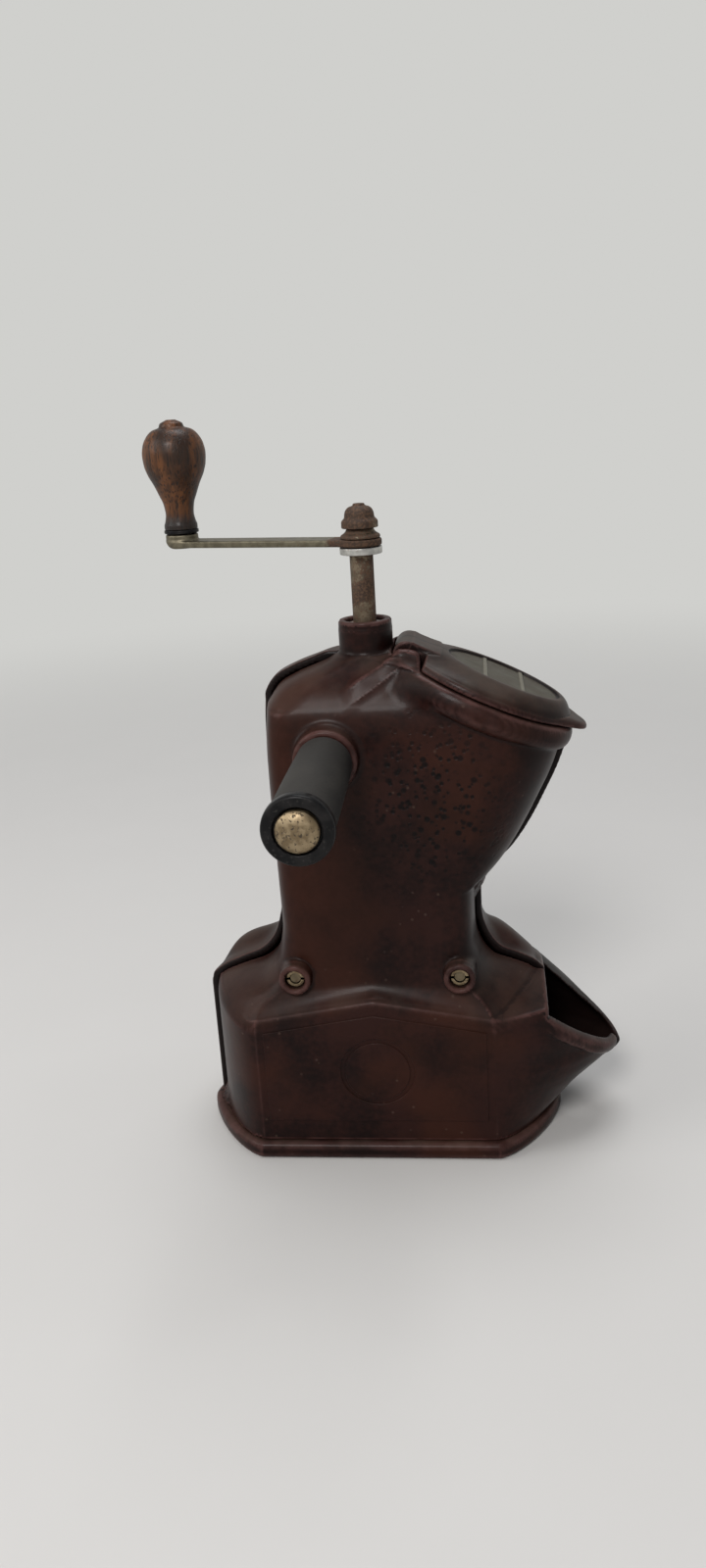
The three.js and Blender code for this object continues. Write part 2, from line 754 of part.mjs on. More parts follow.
// Foot tray
function footTray() {
  const ring = (height, into) => levelRing({
    ...baseLevel(height, footHalfLength + baseCentre - into),
    left: footHalfLength - baseCentre - into, depth: footHalfDepth - into,
    cornerLeft: footCorner - baseCentre, cornerRight: footCorner + baseCentre,
    powerLeft: footPower, powerRight: footPower,
  });
  const bead = solid(loft([
    ring(0, footRound), ring(0.2 * footHeight, 0.3 * footRound), ring(0.45 * footHeight, 0),
    ring(0.75 * footHeight, 0.3 * footRound), ring(footHeight, 1.4 * footRound),
  ]));
  const inside = (low, high, wall) => halved((grow) => {
    const level = inset(levels[0], wall - grow);
    return solid(loft([low, high].map((height) => levelRing({ ...level, height }))));
  });
  const lipTop = footHeight + trayLip;
  const upstand = inside(footFloor, lipTop, shellWall + fitGap);
  const hollow = inside(footFloor, lipTop + overrun, shellWall + fitGap + trayLipWall);
  const bosses = eachPost((x, y) => rodZ(postRadius, footFloor / 2, lipTop, x, y, 12))
    .map((boss) => boss.intersect(inside(0, lipTop, shellWall + fitGap)));
  const holes = eachPost((x, y) => rodZ(footScrewRadius + fitGap, -overrun, lipTop + overrun, x, y, 8));
  const sinks = eachPost((x, y) =>
    rodZ(footScrewHeadRadius + fitGap, -overrun, footScrewSink + footScrewHead + fitGap, x, y, 12));
  return cut(join(cut(join(bead, upstand), hollow), ...bosses), ...holes, ...sinks);
}

// Lid, in its own frame: the hinge axis is its y axis, and it lies along +x
function lidBody() {
  const [along, up] = [mouthCentre - hingeReach, hingeHeight - mouthHeight];
  const drop = up * Math.cos(mouthTilt) - along * Math.sin(mouthTilt);
  const centre = along * Math.cos(mouthTilt) + up * Math.sin(mouthTilt);
  const under = -drop + fitGap;
  const earEdge = earReach / Math.cos(mouthTilt) + drop * Math.tan(mouthTilt) + fitGap;
  const row = (toPlaque, height) => ovalRing(
    mix(lidHalfLength, plaqueHalfLength, toPlaque), mix(lidHalfWidth, plaqueHalfWidth, toPlaque),
    under + height, centre + toPlaque * plaqueOffset,
  );
  const dome = solid(loft([
    row(0.04, 0), row(0, 0.2 * lidEdge), row(0, 0.75 * lidEdge), row(0.1, lidEdge),
    row(0.4, mix(lidEdge, lidCrown, 0.5)), row(0.75, mix(lidEdge, lidCrown, 0.88)), row(1, lidCrown),
  ]));
  const tab = solid(loft([0, lidTabThickness].map((height) => ovalRing(
    2 * lidTabReach, lidTabHalfWidth, under + height, centre + lidHalfLength - lidTabReach, 20))));
  const bridge = block([0, -humpHalfLength, under + lidEdge / 2], [humpBridge, humpHalfLength, humpRadius]);
  const hump = join(rodY(humpRadius, 0, 0, -humpHalfLength, humpHalfLength, 18), bridge);
  const hollow = solid(loft([
    ovalRing(lidHalfLength - lidWall, lidHalfWidth - lidWall, under - overrun, centre),
    ovalRing(lidHalfLength - lidWall, lidHalfWidth - lidWall, under, centre),
    ovalRing(plaqueHalfLength - lidWall, plaqueHalfWidth - lidWall, under + lidHollow - plaqueDepth,
      centre + plaqueOffset),
  ]));
  const recessFloor = under + lidCrown - plaqueDepth;
  const recess = solid(loft([recessFloor, under + lidCrown + overrun].map((height) => ovalRing(
    plaqueHalfLength - plaqueRim, plaqueHalfWidth - plaqueRim, height, centre + plaqueOffset))));
  const ribs = [-1, 1].map((side) => {
    const x = centre + plaqueOffset + (side * plaqueRibSpacing) / 2;
    return block([x - plaqueRib / 2, -plaqueHalfWidth, under + lidHollow],
      [x + plaqueRib / 2, plaqueHalfWidth, under + lidCrown - fitGap]);
  });
  const recessed = cut(recess, ...ribs);
  const notch = [-1, 1].map((side) => {
    const y = [side * (humpHalfLength + fitGap / 2), side * footHalfDepth].sort((a, b) => a - b);
    return block([-overrun - humpRadius, y[0], -lidCrown], [earEdge, y[1], lidCrown + overrun]);
  });
  const behind = block([-lidHalfLength, -footHalfDepth, -footHalfDepth], [0, footHalfDepth, footHalfDepth]);
  const plate = cut(join(dome, tab), hollow, recessed, ...notch, behind);
  const pinBore = rodY(hingePinRadius + fitGap, 0, 0, -footHalfDepth, footHalfDepth, 12);
  return cut(join(plate, cut(hump, hollow)), pinBore);
}

// Side grip, bolt and nut
function alongY(profile, sides = 24) {
  return turned(profile, sides).rotateX(-Math.PI / 2).translate(gripX, 0, gripZ);
}

function gripBody() {
  const rounding = 0.1 * gripRadius;
  return alongY([
    [gripBore, gripEnd], [gripRadius - rounding, gripEnd], [gripRadius, gripEnd + rounding],
    [gripRadius, mix(gripEnd, gripStart, 0.3)],
    [mix(gripRadius, gripRootRadius, 0.5), mix(gripEnd, gripStart, 0.7)],
    [gripRootRadius, gripStart - rounding], [gripRootRadius - rounding, gripStart], [gripBore, gripStart],
    [gripBore, gripEnd],
  ]);
}

function endRingBody() {
  const round = 0.3 * endRingLength;
  const seat = endRingEnd + endRingSeat + fitGap;
  return alongY([
    [gripBore, endRingStart], [endRingRadius - round / 2, endRingStart],
    [endRingRadius, endRingStart - round], [endRingRadius, endRingEnd + round],
    [endRingRadius - round, endRingEnd], [endRingHole, endRingEnd], [endRingHole, seat],
    [gripBore, seat], [gripBore, endRingStart],
  ]);
}

function boltBody() {
  const seat = endRingEnd + endRingSeat;
  const tail = rearBossFace + rearWasherThickness + rearNutHeight;
  return alongY([
    [0, endRingEnd - boltHeadDome], [0.4 * boltHeadRadius, endRingEnd - 0.9 * boltHeadDome],
    [0.75 * boltHeadRadius, endRingEnd - 0.55 * boltHeadDome], [boltHeadRadius, endRingEnd],
    [boltHeadRadius, seat], [boltRadius, seat], [boltRadius, tail], [0, tail],
  ], 24);
}

function rearWasher() {
  const face = rearBossFace + fitGap;
  return alongY([
    [boltRadius + fitGap, face], [rearWasherRadius, face], [rearWasherRadius, face + rearWasherThickness],
    [boltRadius + fitGap, face + rearWasherThickness], [boltRadius + fitGap, face],
  ], 24);
}

function rearNut() {
  const face = rearBossFace + rearWasherThickness + 2 * fitGap;
  return cut(
    rodY(rearNutRadius, gripX, gripZ, face, face + rearNutHeight, 6),
    rodY(boltRadius + fitGap, gripX, gripZ, face - overrun, face + rearNutHeight + overrun, 16),
  );
}

// Waist screws and the slotted sleeve nuts that they go into
function sleeveNut(side) {
  const face = -screwBossFace + sleeveRecess;
  const body = rodY(sleeveRadius, side * shellScrewX, shellScrewZ, face, face + sleeveLength, 18);
  const bore = rodY(shellScrewRadius + fitGap, side * shellScrewX, shellScrewZ, face - overrun,
    face + sleeveLength + overrun, 14);
  const slot = block(
    [side * shellScrewX - sleeveRadius - overrun, face - overrun, shellScrewZ - sleeveSlot / 2],
    [side * shellScrewX + sleeveRadius + overrun, face + sleeveSlotDepth, shellScrewZ + sleeveSlot / 2],
  );
  return cut(body, bore, slot);
}

function shellScrew(side) {
  const seat = screwBossFace - shellScrewRecess + fitGap;
  const x = side * shellScrewX;
  const slotReach = shellScrewHeadRadius + overrun;
  const shank = rodY(shellScrewRadius, x, shellScrewZ, -shellScrewTip, seat + shellScrewHead / 2, 14);
  const head = rodY(shellScrewHeadRadius, x, shellScrewZ, seat, seat + shellScrewHead, 18);
  const slot = block(
    [x - slotReach, seat + shellScrewHead - sleeveSlotDepth, shellScrewZ - sleeveSlot / 2],
    [x + slotReach, seat + shellScrewHead + overrun, shellScrewZ + sleeveSlot / 2],
  );
  return cut(join(shank, head), slot);
}

function footScrew(x, y) {
  const head = rodZ(footScrewHeadRadius, footScrewSink, footScrewSink + footScrewHead, x, y, 12);
  const shank = rodZ(footScrewRadius, footScrewSink, footScrewTip, x, y, 8);
  const slot = block([x - footScrewHeadRadius - overrun, y - sleeveSlot / 2, -overrun],
    [x + footScrewHeadRadius + overrun, y + sleeveSlot / 2, footScrewSink + 0.4 * footScrewHead]);
  return cut(join(head, shank), slot);
}

// Neck bush, shaft and crank
function neckBush() {
  const [bore, top] = [shaftRadius + runningGap, neckTop - bushDrop];
  const flangeTop = bushFlangeBottom + bushFlangeHeight;
  return turned([
    [bore, bushBottom], [bushRadius, bushBottom], [bushRadius, bushFlangeBottom],
    [bushRadius + bushFlange, bushFlangeBottom], [bushRadius + bushFlange, flangeTop],
    [bushRadius, flangeTop], [bushRadius, top], [bore, top], [bore, bushBottom],
  ]);
}

function shaftBody() {
  const studTop = nutBottom + nutHeight / 2;
  const body = solid(turned([
    [0, shaftBottom + thrustDimple], [thrustDimpleRadius, shaftBottom], [shaftRadius, shaftBottom],
    [shaftRadius, washerBottom - fitGap], [studRadius, washerBottom - fitGap], [studRadius, studTop],
    [0, studTop],
  ], 24));
  return cut(body, conePinBore());
}

function crankWasher() {
  const [bore, top, round] = [studRadius + fitGap, washerBottom + washerThickness, 0.12 * washerThickness];
  return turned([
    [bore, washerBottom], [washerRadius - round, washerBottom], [washerRadius, washerBottom + round],
    [washerRadius, top - round], [washerRadius - round, top], [bore, top], [bore, washerBottom],
  ]);
}

function armBody() {
  const tipBottom = armBottom + armRise;
  const under = [
    [armHubRadius, armBottom], [-armReach + armTipRadius, tipBottom], [-armReach, tipBottom],
    [-armReach - armTipRadius + armTipRound / 2, tipBottom + armTipRound / 4],
    [-armReach - armTipRadius, tipBottom + armTipRound],
  ];
  const over = [
    [-armReach - armTipRadius, armEndTop], [-armReach + armTipRadius, armEndTop],
    [-armReach + armTipRadius + armTipRise / 4, armEndTop - armTipRise],
    [armHubRadius, armBottom + armThickness],
  ];
  const strip = plateXZ([...under, ...over].reverse(), -armHubRadius, armHubRadius);
  const outline = join(
    rodZ(armHubRadius, armBottom - overrun, armEndTop, 0, 0, 24),
    rodZ(armTipRadius, armBottom - overrun, armEndTop + overrun, -armReach, 0, 24),
    block([-armReach, -armHalfWidth, armBottom - overrun], [0, armHalfWidth, armEndTop + overrun]),
  );
  const holes = [
    rodZ(studRadius + fitGap, neckTop, armEndTop + overrun, 0, 0, 20),
    rodZ(knobPinRadius + fitGap, neckTop, armEndTop + overrun, -armReach, 0, 14),
    rodZ(knobPinHeadRadius + fitGap, neckTop, tipBottom + knobPinHead + fitGap, -armReach, 0, 18),
  ];
  return cut(strip.intersect(outline), ...holes);
}

function crankBoss() {
  const [bore, top] = [studRadius + fitGap, bossBottom + bossHeight];
  return turned([
    [bore, bossBottom], [bossRadius, bossBottom], [bossRadius, bossBottom + 0.3 * bossHeight],
    [mix(bossRadius, bossNeck, 0.7), bossBottom + 0.6 * bossHeight],
    [bossNeck, bossBottom + 0.8 * bossHeight], [bossNeck, top], [bore, top], [bore, bossBottom],
  ]);
}

function crankNut() {
  const [bore, inside] = [studRadius + fitGap, nutBottom + nutHeight / 2 + fitGap];
  const [flangeTop, top] = [nutBottom + nutFlange, nutBottom + nutHeight];
  return turned([
    [bore, nutBottom], [nutFlangeRadius, nutBottom], [nutFlangeRadius, flangeTop - 0.3 * nutFlange],
    [mix(nutDomeRadius, nutFlangeRadius, 0.4), flangeTop], [nutDomeRadius, flangeTop + 0.3 * nutFlange],
    [nutDomeRadius, mix(flangeTop, top, 0.45)], [0.85 * nutDomeRadius, mix(flangeTop, top, 0.75)],
    [mix(nutNubRadius, nutDomeRadius, 0.4), mix(flangeTop, top, 0.96)], [nutNubRadius, top],
    [0.8 * nutNubRadius, top + nutNub], [0, top + nutNub], [0, inside], [bore, inside], [bore, nutBottom],
  ]);
}

function knobBody() {
  const outside = knobShares.map(([up, out]) => [out * knobRadius, knobBottom + up * knobHeight]);
  const boreTop = knobBottom + knobHeight - knobPinTop + fitGap;
  return turned([
    [knobBore, knobBottom], ...outside, [0, knobBottom + knobHeight], [0, boreTop], [knobBore, boreTop],
    [knobBore, knobBottom],
  ]).translate(-armReach, 0, 0);
}

function ferruleBody() {
  const [round, top] = [0.25 * ferruleHeight, ferruleBottom + ferruleHeight];
  return turned([
    [knobBore, ferruleBottom], [ferruleRadius - round, ferruleBottom],
    [ferruleRadius, ferruleBottom + round], [ferruleRadius, top - round],
    [ferruleRadius - round, top], [knobBore, top], [knobBore, ferruleBottom],
  ], 24).translate(-armReach, 0, 0);
}

function knobPin() {
  const [headBottom, tip] = [armBottom + armRise, knobBottom + knobHeight - knobPinTop];
  return turned([
    [0, headBottom], [knobPinHeadRadius, headBottom], [knobPinHeadRadius, headBottom + knobPinHead],
    [knobPinRadius, headBottom + knobPinHead], [knobPinRadius, tip], [0, tip],
  ], 18).translate(-armReach, 0, 0);
}

// Burr set
function housingBody() {
  const plate = slice(levels, plateBottom, plateTop, shellWall + 2 * fitGap);
  const inner = housingRadius - housingWall;
  const tube = rodZ(housingRadius, housingBottom, plateTop, 0, 0, 32);
  const bore = rodZ(inner, housingBottom + housingLip, plateTop + overrun, 0, 0, 32);
  const outlet = rodZ(inner - housingLipWidth, housingBottom - overrun, plateTop, 0, 0, 32);
  const holes = yokeSides((x) => rodZ(yokeScrewRadius + fitGap, 0, neckTop, x, 0, 10));
  return cut(join(plate, tube), bore, outlet, ...holes);
}

// Grinding teeth: a star-shaped ring of points, turned a little further at each level
function toothedRing(radius, depth, height, turn) {
  return Array.from({ length: 2 * toothCount }, (_, i) => {
    const angle = (i / toothCount) * Math.PI + turn;
    const out = i % 2 ? radius : radius + depth;
    return new THREE.Vector3(out * Math.cos(angle), out * Math.sin(angle), height);
  });
}

function coneRadiusAt(height) {
  return mix(coneBottomRadius, coneTopRadius, (height - coneBottom) / coneHeight);
}

function burrRing() {
  const outer = housingRadius - housingWall - fitGap;
  const top = ringBottom + ringHeight;
  const rows = [ringBottom - overrun, mix(ringBottom, top, 0.5), top + overrun];
  const throat = solid(loft(rows.map((height) => toothedRing(
    coneRadiusAt(height) + grindGap + toothDepth, toothDepth, height,
    (-toothTwist * (height - ringBottom)) / ringHeight))));
  return cut(rodZ(outer, ringBottom, top, 0, 0, 32), throat);
}

function burrCone() {
  const top = coneBottom + coneHeight;
  const body = solid(loft([coneBottom, mix(coneBottom, top, 0.5), top].map((height) => toothedRing(
    coneRadiusAt(height) - toothDepth, toothDepth, height,
    (toothTwist * (height - coneBottom)) / coneHeight))));
  return cut(body, rodZ(shaftRadius + fitGap, coneBottom - overrun, top + overrun, 0, 0, 20), conePinBore());
}

function conePinBore() {
  return rodX(conePinRadius + fitGap, -housingRadius, housingRadius, conePinHeight);
}

// Yoke under the burrs, with the adjuster that lifts the shaft
function yokeSides(make) {
  return [-1, 1].map((side) => make((side * (yokeLegInner + yokeLegOuter)) / 2));
}

function yokeBody() {
  const legTop = plateBottom - fitGap;
  const frame = cut(
    block([-yokeLegOuter, -yokeHalfWidth, yokeBottom], [yokeLegOuter, yokeHalfWidth, legTop]),
    block(
      [-yokeLegInner, -yokeHalfWidth - overrun, yokeTop],
      [yokeLegInner, yokeHalfWidth + overrun, legTop + overrun],
    ),
  );
  const holes = yokeSides((x) =>
    rodZ(yokeScrewRadius + fitGap, legTop - yokeScrewLength, legTop + overrun, x, 0, 10));
  return cut(frame, rodZ(wheelHubRadius + runningGap, yokeBottom - overrun, yokeTop + overrun), ...holes);
}

function yokeScrew(x) {
  const seat = plateTop + fitGap;
  const tip = plateBottom - yokeScrewLength + 2 * fitGap;
  const shank = rodZ(yokeScrewRadius, tip, seat + yokeScrewHead / 2, x, 0, 10);
  return join(shank, rodZ(yokeScrewHeadRadius, seat, seat + yokeScrewHead, x, 0, 16));
}

function adjustingWheel() {
  const top = yokeBottom - fitGap;
  const bottom = top - wheelHeight;
  const hubTop = yokeTop + wheelHubAbove;
  const grooveBottom = yokeTop + fitGap / 2;
  const rim = solid(loft([bottom, top].map((height) =>
    Array.from({ length: 2 * wheelNotches }, (_, i) => {
      const angle = (i / wheelNotches) * Math.PI;
      const out = i % 2 ? wheelRadius - wheelNotch : wheelRadius;
      return new THREE.Vector3(out * Math.cos(angle), out * Math.sin(angle), height);
    }))));
  const hub = solid(turned([
    [0, bottom], [wheelHubRadius, bottom], [wheelHubRadius, grooveBottom],
    [wheelHubRadius - clipGrooveDepth, grooveBottom],
    [wheelHubRadius - clipGrooveDepth, grooveBottom + clipThickness + fitGap],
    [wheelHubRadius, grooveBottom + clipThickness + fitGap], [wheelHubRadius, hubTop], [0, hubTop],
  ], 20));
  return cut(join(rim, hub), rodZ(thrustPinRadius + fitGap, bottom - overrun, hubTop + overrun, 0, 0, 16));
}

function retainingClip() {
  const [inner, low] = [wheelHubRadius - clipGrooveDepth + fitGap, yokeTop + fitGap];
  return turned([
    [inner, low], [clipRadius, low], [clipRadius, low + clipThickness], [inner, low + clipThickness],
    [inner, low],
  ], 20);
}

function thrustPin() {
  const bottom = yokeBottom - wheelHeight - thrustPinBelow;
  return turned([
    [0, bottom], [thrustPinRadius, bottom], [thrustPinRadius, pinHeadBottom],
    [thrustHeadRadius, pinHeadBottom], [thrustHeadRadius, pinHeadTop],
    [thrustDimpleRadius, pinHeadTop], [0, pinHeadTop - thrustDimple],
  ], 16);
}

// The named pieces with their finishes
const mill = new THREE.Group();
const crank = new THREE.Group();
crank.rotation.z = crankAngle;
const lidGroup = new THREE.Group();
lidGroup.position.set(hingeReach, 0, hingeHeight);
lidGroup.rotation.y = mouthTilt;
mill.add(crank, lidGroup);

const finishes = {
  bakelite: { color: 0x4a1f1c, roughness: 0.42, metalness: 0 },
  blackBakelite: { color: 0x141212, roughness: 0.35, metalness: 0 },
  wood: { color: 0x5a3018, roughness: 0.5, metalness: 0 },
  brass: { color: 0x8f7a52, roughness: 0.45, metalness: 0.9 },
  steel: { color: 0x84807a, roughness: 0.4, metalness: 0.9 },
  rustySteel: { color: 0x5d4636, roughness: 0.6, metalness: 0.7 },
  greySteel: { color: 0xa5a49c, roughness: 0.5, metalness: 0.8 },
  castIron: { color: 0x4d4c4a, roughness: 0.65, metalness: 0.6 },
};

function addPiece(name, body, finish, parent = mill) {
  const geometry = body.isBufferGeometry ? closedMesh(body) : geometryOf(body);
  geometry.computeVertexNormals();
  const mesh = new THREE.Mesh(geometry, new THREE.MeshStandardMaterial(finishes[finish]));
  mesh.name = name;
  parent.add(mesh);
}

addPiece("front_shell", frontShell, "bakelite");
addPiece("rear_shell", rearShell, "bakelite");
addPiece("foot_tray", footTray(), "bakelite");
eachPost((x, y) => [x, y]).forEach(([x, y], i) => addPiece(`foot_screw_${i + 1}`, footScrew(x, y), "steel"));

addPiece("lid", lidBody(), "bakelite", lidGroup);
const pinEnd = humpHalfLength + fitGap + earThickness;
addPiece("lid_hinge_pin", rodY(hingePinRadius, hingeReach, hingeHeight, -pinEnd, pinEnd, 12), "steel");

addPiece("handle_grip", gripBody(), "blackBakelite");
addPiece("grip_end_ring", endRingBody(), "blackBakelite");
addPiece("grip_bolt", boltBody(), "brass");
addPiece("grip_bolt_washer", rearWasher(), "steel");
addPiece("grip_bolt_nut", rearNut(), "steel");
for (const [name, side] of [["left", -1], ["right", 1]]) {
  addPiece(`sleeve_nut_${name}`, sleeveNut(side), "brass");
  addPiece(`shell_screw_${name}`, shellScrew(side), "steel");
}

addPiece("neck_bush", neckBush(), "steel");
addPiece("crank_shaft", shaftBody(), "rustySteel", crank);
addPiece("crank_washer", crankWasher(), "greySteel", crank);
addPiece("crank_arm", armBody(), "steel", crank);
addPiece("crank_boss", crankBoss(), "rustySteel", crank);
addPiece("crank_nut", crankNut(), "rustySteel", crank);
addPiece("knob_pin", knobPin(), "steel", crank);
addPiece("knob_ferrule", ferruleBody(), "blackBakelite", crank);
addPiece("crank_knob", knobBody(), "wood", crank);

addPiece("burr_housing", housingBody(), "castIron");
addPiece("burr_ring", burrRing(), "castIron");
addPiece("burr_cone", burrCone(), "castIron", crank);
const conePin = rodX(conePinRadius, -conePinHalfLength, conePinHalfLength, conePinHeight);
addPiece("cone_pin", conePin, "steel", crank);

addPiece("yoke", yokeBody(), "castIron");
yokeSides((x) => x).forEach((x, i) => addPiece(`yoke_screw_${i + 1}`, yokeScrew(x), "steel"));
addPiece("adjusting_wheel", adjustingWheel(), "brass");
addPiece("retaining_clip", retainingClip(), "steel");
addPiece("thrust_pin", thrustPin(), "steel");
const ball = new THREE.SphereGeometry(ballRadius, 14, 10).translate(0, 0, ballHeight);
addPiece("thrust_ball", ball, "greySteel");

export default mill;
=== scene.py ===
import math

import bmesh
import bpy
import numpy as np
from mathutils import Euler, Matrix, Vector


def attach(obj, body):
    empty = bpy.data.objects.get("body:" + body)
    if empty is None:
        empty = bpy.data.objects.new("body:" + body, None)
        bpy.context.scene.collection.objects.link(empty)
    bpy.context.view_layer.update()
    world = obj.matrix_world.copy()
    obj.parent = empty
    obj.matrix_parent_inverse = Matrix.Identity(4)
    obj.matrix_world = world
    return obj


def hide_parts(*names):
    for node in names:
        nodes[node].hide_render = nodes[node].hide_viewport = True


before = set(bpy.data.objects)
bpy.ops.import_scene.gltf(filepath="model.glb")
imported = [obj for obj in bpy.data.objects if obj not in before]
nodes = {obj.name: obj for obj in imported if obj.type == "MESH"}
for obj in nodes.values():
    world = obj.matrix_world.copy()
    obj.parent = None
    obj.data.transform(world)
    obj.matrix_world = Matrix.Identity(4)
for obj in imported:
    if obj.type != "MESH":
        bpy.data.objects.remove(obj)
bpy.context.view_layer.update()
mm = 0.001  # every size below is in millimetres

print("frame loaded,", len(nodes), "nodes")


# Distances in millimetres, negative inside a shape. They meet in rounded corners and edges.

def blendIn(a, b, rounding):
    share = np.clip(0.5 + 0.5 * (b - a) / rounding, 0, 1)
    return b * (1 - share) + a * share - rounding * share * (1 - share)


def trim(a, b, rounding):
    return -blendIn(-a, -b, rounding)


def cutOut(body, tool, rounding):
    return trim(body, -tool, rounding)


def mix(a, b, share):
    return a + (b - a) * share


def rodAlong(axis, p, centre, radius, low, high, rounding=0.6):
    across = [i for i in range(3) if i != axis]
    away = np.hypot(p[:, across[0]] - centre[0], p[:, across[1]] - centre[1]) - radius
    return trim(away, np.maximum(low - p[:, axis], p[:, axis] - high), rounding)


def ovalAway(x, y, halfLength, halfWidth):
    u, v = x / halfLength, y / halfWidth
    r = np.maximum(np.hypot(u, v), 1e-6)
    return (r - 1) * r / np.maximum(np.hypot(u / halfLength, v / halfWidth), 1e-6)


def outlineAway(x, y, reach, depth, corner, power):
    # straight front and back, and ends that are pointed, round or square
    span = np.maximum(reach - corner, 0.5)
    u = np.maximum(np.abs(x) - corner, 0) / span
    v = np.abs(y) / depth
    r = np.maximum((u ** power + v ** power) ** (1 / power), 1e-6)
    steep = np.hypot((u / r) ** (power - 1) / span, (v / r) ** (power - 1) / depth)
    return (r - 1) / np.maximum(steep, 1e-6)


def steadyCurve(values, at):
    # a smooth curve through evenly spaced values that never overshoots them
    values = np.asarray(values, dtype=float)
    step = np.diff(values)
    same = step[1:] * step[:-1] > 0
    slope = np.empty(len(values))
    slope[0], slope[-1] = step[0], step[-1]
    slope[1:-1] = np.where(same, 2 * step[1:] * step[:-1] / np.where(same, step[1:] + step[:-1], 1), 0)
    i = np.clip(at.astype(int), 0, len(values) - 2)
    t = at - i
    return (
        (1 + 2 * t) * (1 - t) ** 2 * values[i] + t * (1 - t) ** 2 * slope[i]
        + t * t * (3 - 2 * t) * values[i + 1] + t * t * (t - 1) * slope[i + 1]
    )


# Skins: the surface where a distance is zero, as even four-sided faces

def skinOf(away, box, cell, settle=3):
    low, high = (np.asarray(corner, float) for corner in box)
    count = np.ceil((high - low) / cell).astype(int) + 1
    ys, zs = (low[i] + cell * np.arange(count[i]) for i in (1, 2))
    values = np.empty(count, dtype=np.float32)
    layers = 12
    for first in range(0, count[0], layers):
        xs = low[0] + cell * np.arange(first, min(first + layers, count[0]))
        grid = np.stack(np.meshgrid(xs, ys, zs, indexing="ij"), axis=-1)
        values[first:first + len(xs)] = away(grid.reshape(-1, 3)).reshape(grid.shape[:3])
    # cells that the surface passes through
    inside = values < 0
    corners = [(a, b, c) for a in (0, 1) for b in (0, 1) for c in (0, 1)]
    filled = sum(
        inside[a:count[0] - 1 + a, b:count[1] - 1 + b, c:count[2] - 1 + c].astype(np.int8)
        for a, b, c in corners
    )
    mixed = (filled > 0) & (filled < 8)
    cells = np.argwhere(mixed)
    number = np.full(mixed.shape, -1, dtype=np.int64)
    number[mixed] = np.arange(len(cells))
    # one point in each, at the middle of the places where its edges cross the surface
    total, hits = np.zeros((len(cells), 3)), np.zeros(len(cells))
    for corner in corners:
        for axis in range(3):
            if corner[axis]:
                continue
            unit = np.eye(3, dtype=int)[axis]
            a = values[tuple((cells + corner).T)]
            b = values[tuple((cells + corner + unit).T)]
            crosses = (a < 0) != (b < 0)
            share = np.where(crosses, a / np.where(crosses, a - b, 1), 0)
            total += crosses[:, None] * (np.asarray(corner) + share[:, None] * unit)
            hits += crosses
    points = low + cell * (cells + total / hits[:, None])
    # a face round each edge that crosses, through the four cells that share it
    faces = []
    for axis in range(3):
        u, v = np.eye(3, dtype=int)[(axis + 1) % 3], np.eye(3, dtype=int)[(axis + 2) % 3]
        near = inside.take(range(count[axis] - 1), axis)
        far = inside.take(range(1, count[axis]), axis)
        for rising in (True, False):
            place = np.argwhere((near if rising else far) & ~(far if rising else near))
            place = place[(place[:, (axis + 1) % 3] > 0) & (place[:, (axis + 2) % 3] > 0)]
            ring = [place - u - v, place - v, place, place - u]
            if not rising:
                ring.reverse()
            faces.append(np.stack([number[tuple(corner.T)] for corner in ring], axis=1))
    faces = np.concatenate(faces)
    # evened out, and drawn back onto the surface
    for turn in range(settle):
        if turn < settle - 1:
            points = mix(points, meanOfNeighbours(points, faces), 0.5)
        points = settleOn(away, points, cell)
    return points, faces


def meanOfNeighbours(points, faces):
    ends = np.concatenate([faces, np.roll(faces, 1, axis=1)])
    a, b = ends[:, [0, 2]].ravel(), ends[:, [1, 3]].ravel()
    count = len(points)
    sums = [np.bincount(a, points[b, i], count) + np.bincount(b, points[a, i], count) for i in range(3)]
    hits = np.bincount(a, minlength=count) + np.bincount(b, minlength=count)
    return np.stack(sums, axis=1) / hits[:, None]


def slopeOf(away, points, reach):
    return np.stack([
        (away(points + reach * unit) - away(points - reach * unit)) / (2 * reach) for unit in np.eye(3)
    ], axis=1)


def settleOn(away, points, cell):
    slope = slopeOf(away, points, 0.1 * cell)
    move = away(points) / np.maximum((slope ** 2).sum(axis=1), 0.05)
    step = slope * move[:, None]
    length = np.maximum(np.linalg.norm(step, axis=1), 1e-9)
    return points - step * np.minimum(1, 0.5 * cell / length)[:, None]


# Finishes: a wire stands for one socket, so that masks and sizes are written as sums

class Wire:
    def __init__(self, work, socket):
        self.work, self.socket = work, socket

    def maths(self, operation, first, second):
        return self.work.node("ShaderNodeMath", {"operation": operation}, {0: first, 1: second})

    def __add__(self, other):
        return self.maths("ADD", self, other)

    def __radd__(self, other):
        return self.maths("ADD", other, self)

    def __sub__(self, other):
        return self.maths("SUBTRACT", self, other)

    def __rsub__(self, other):
        return self.maths("SUBTRACT", other, self)

    def __mul__(self, other):
        return self.maths("MULTIPLY", self, other)

    def __rmul__(self, other):
        return self.maths("MULTIPLY", other, self)

    def between(self, low, high):
        # 0 at low, 1 at high, and a soft step between them
        settings = {"interpolation_type": "SMOOTHSTEP"}
        return self.work.node("ShaderNodeMapRange", settings,
                              {"Value": self, "From Min": low, "From Max": high})


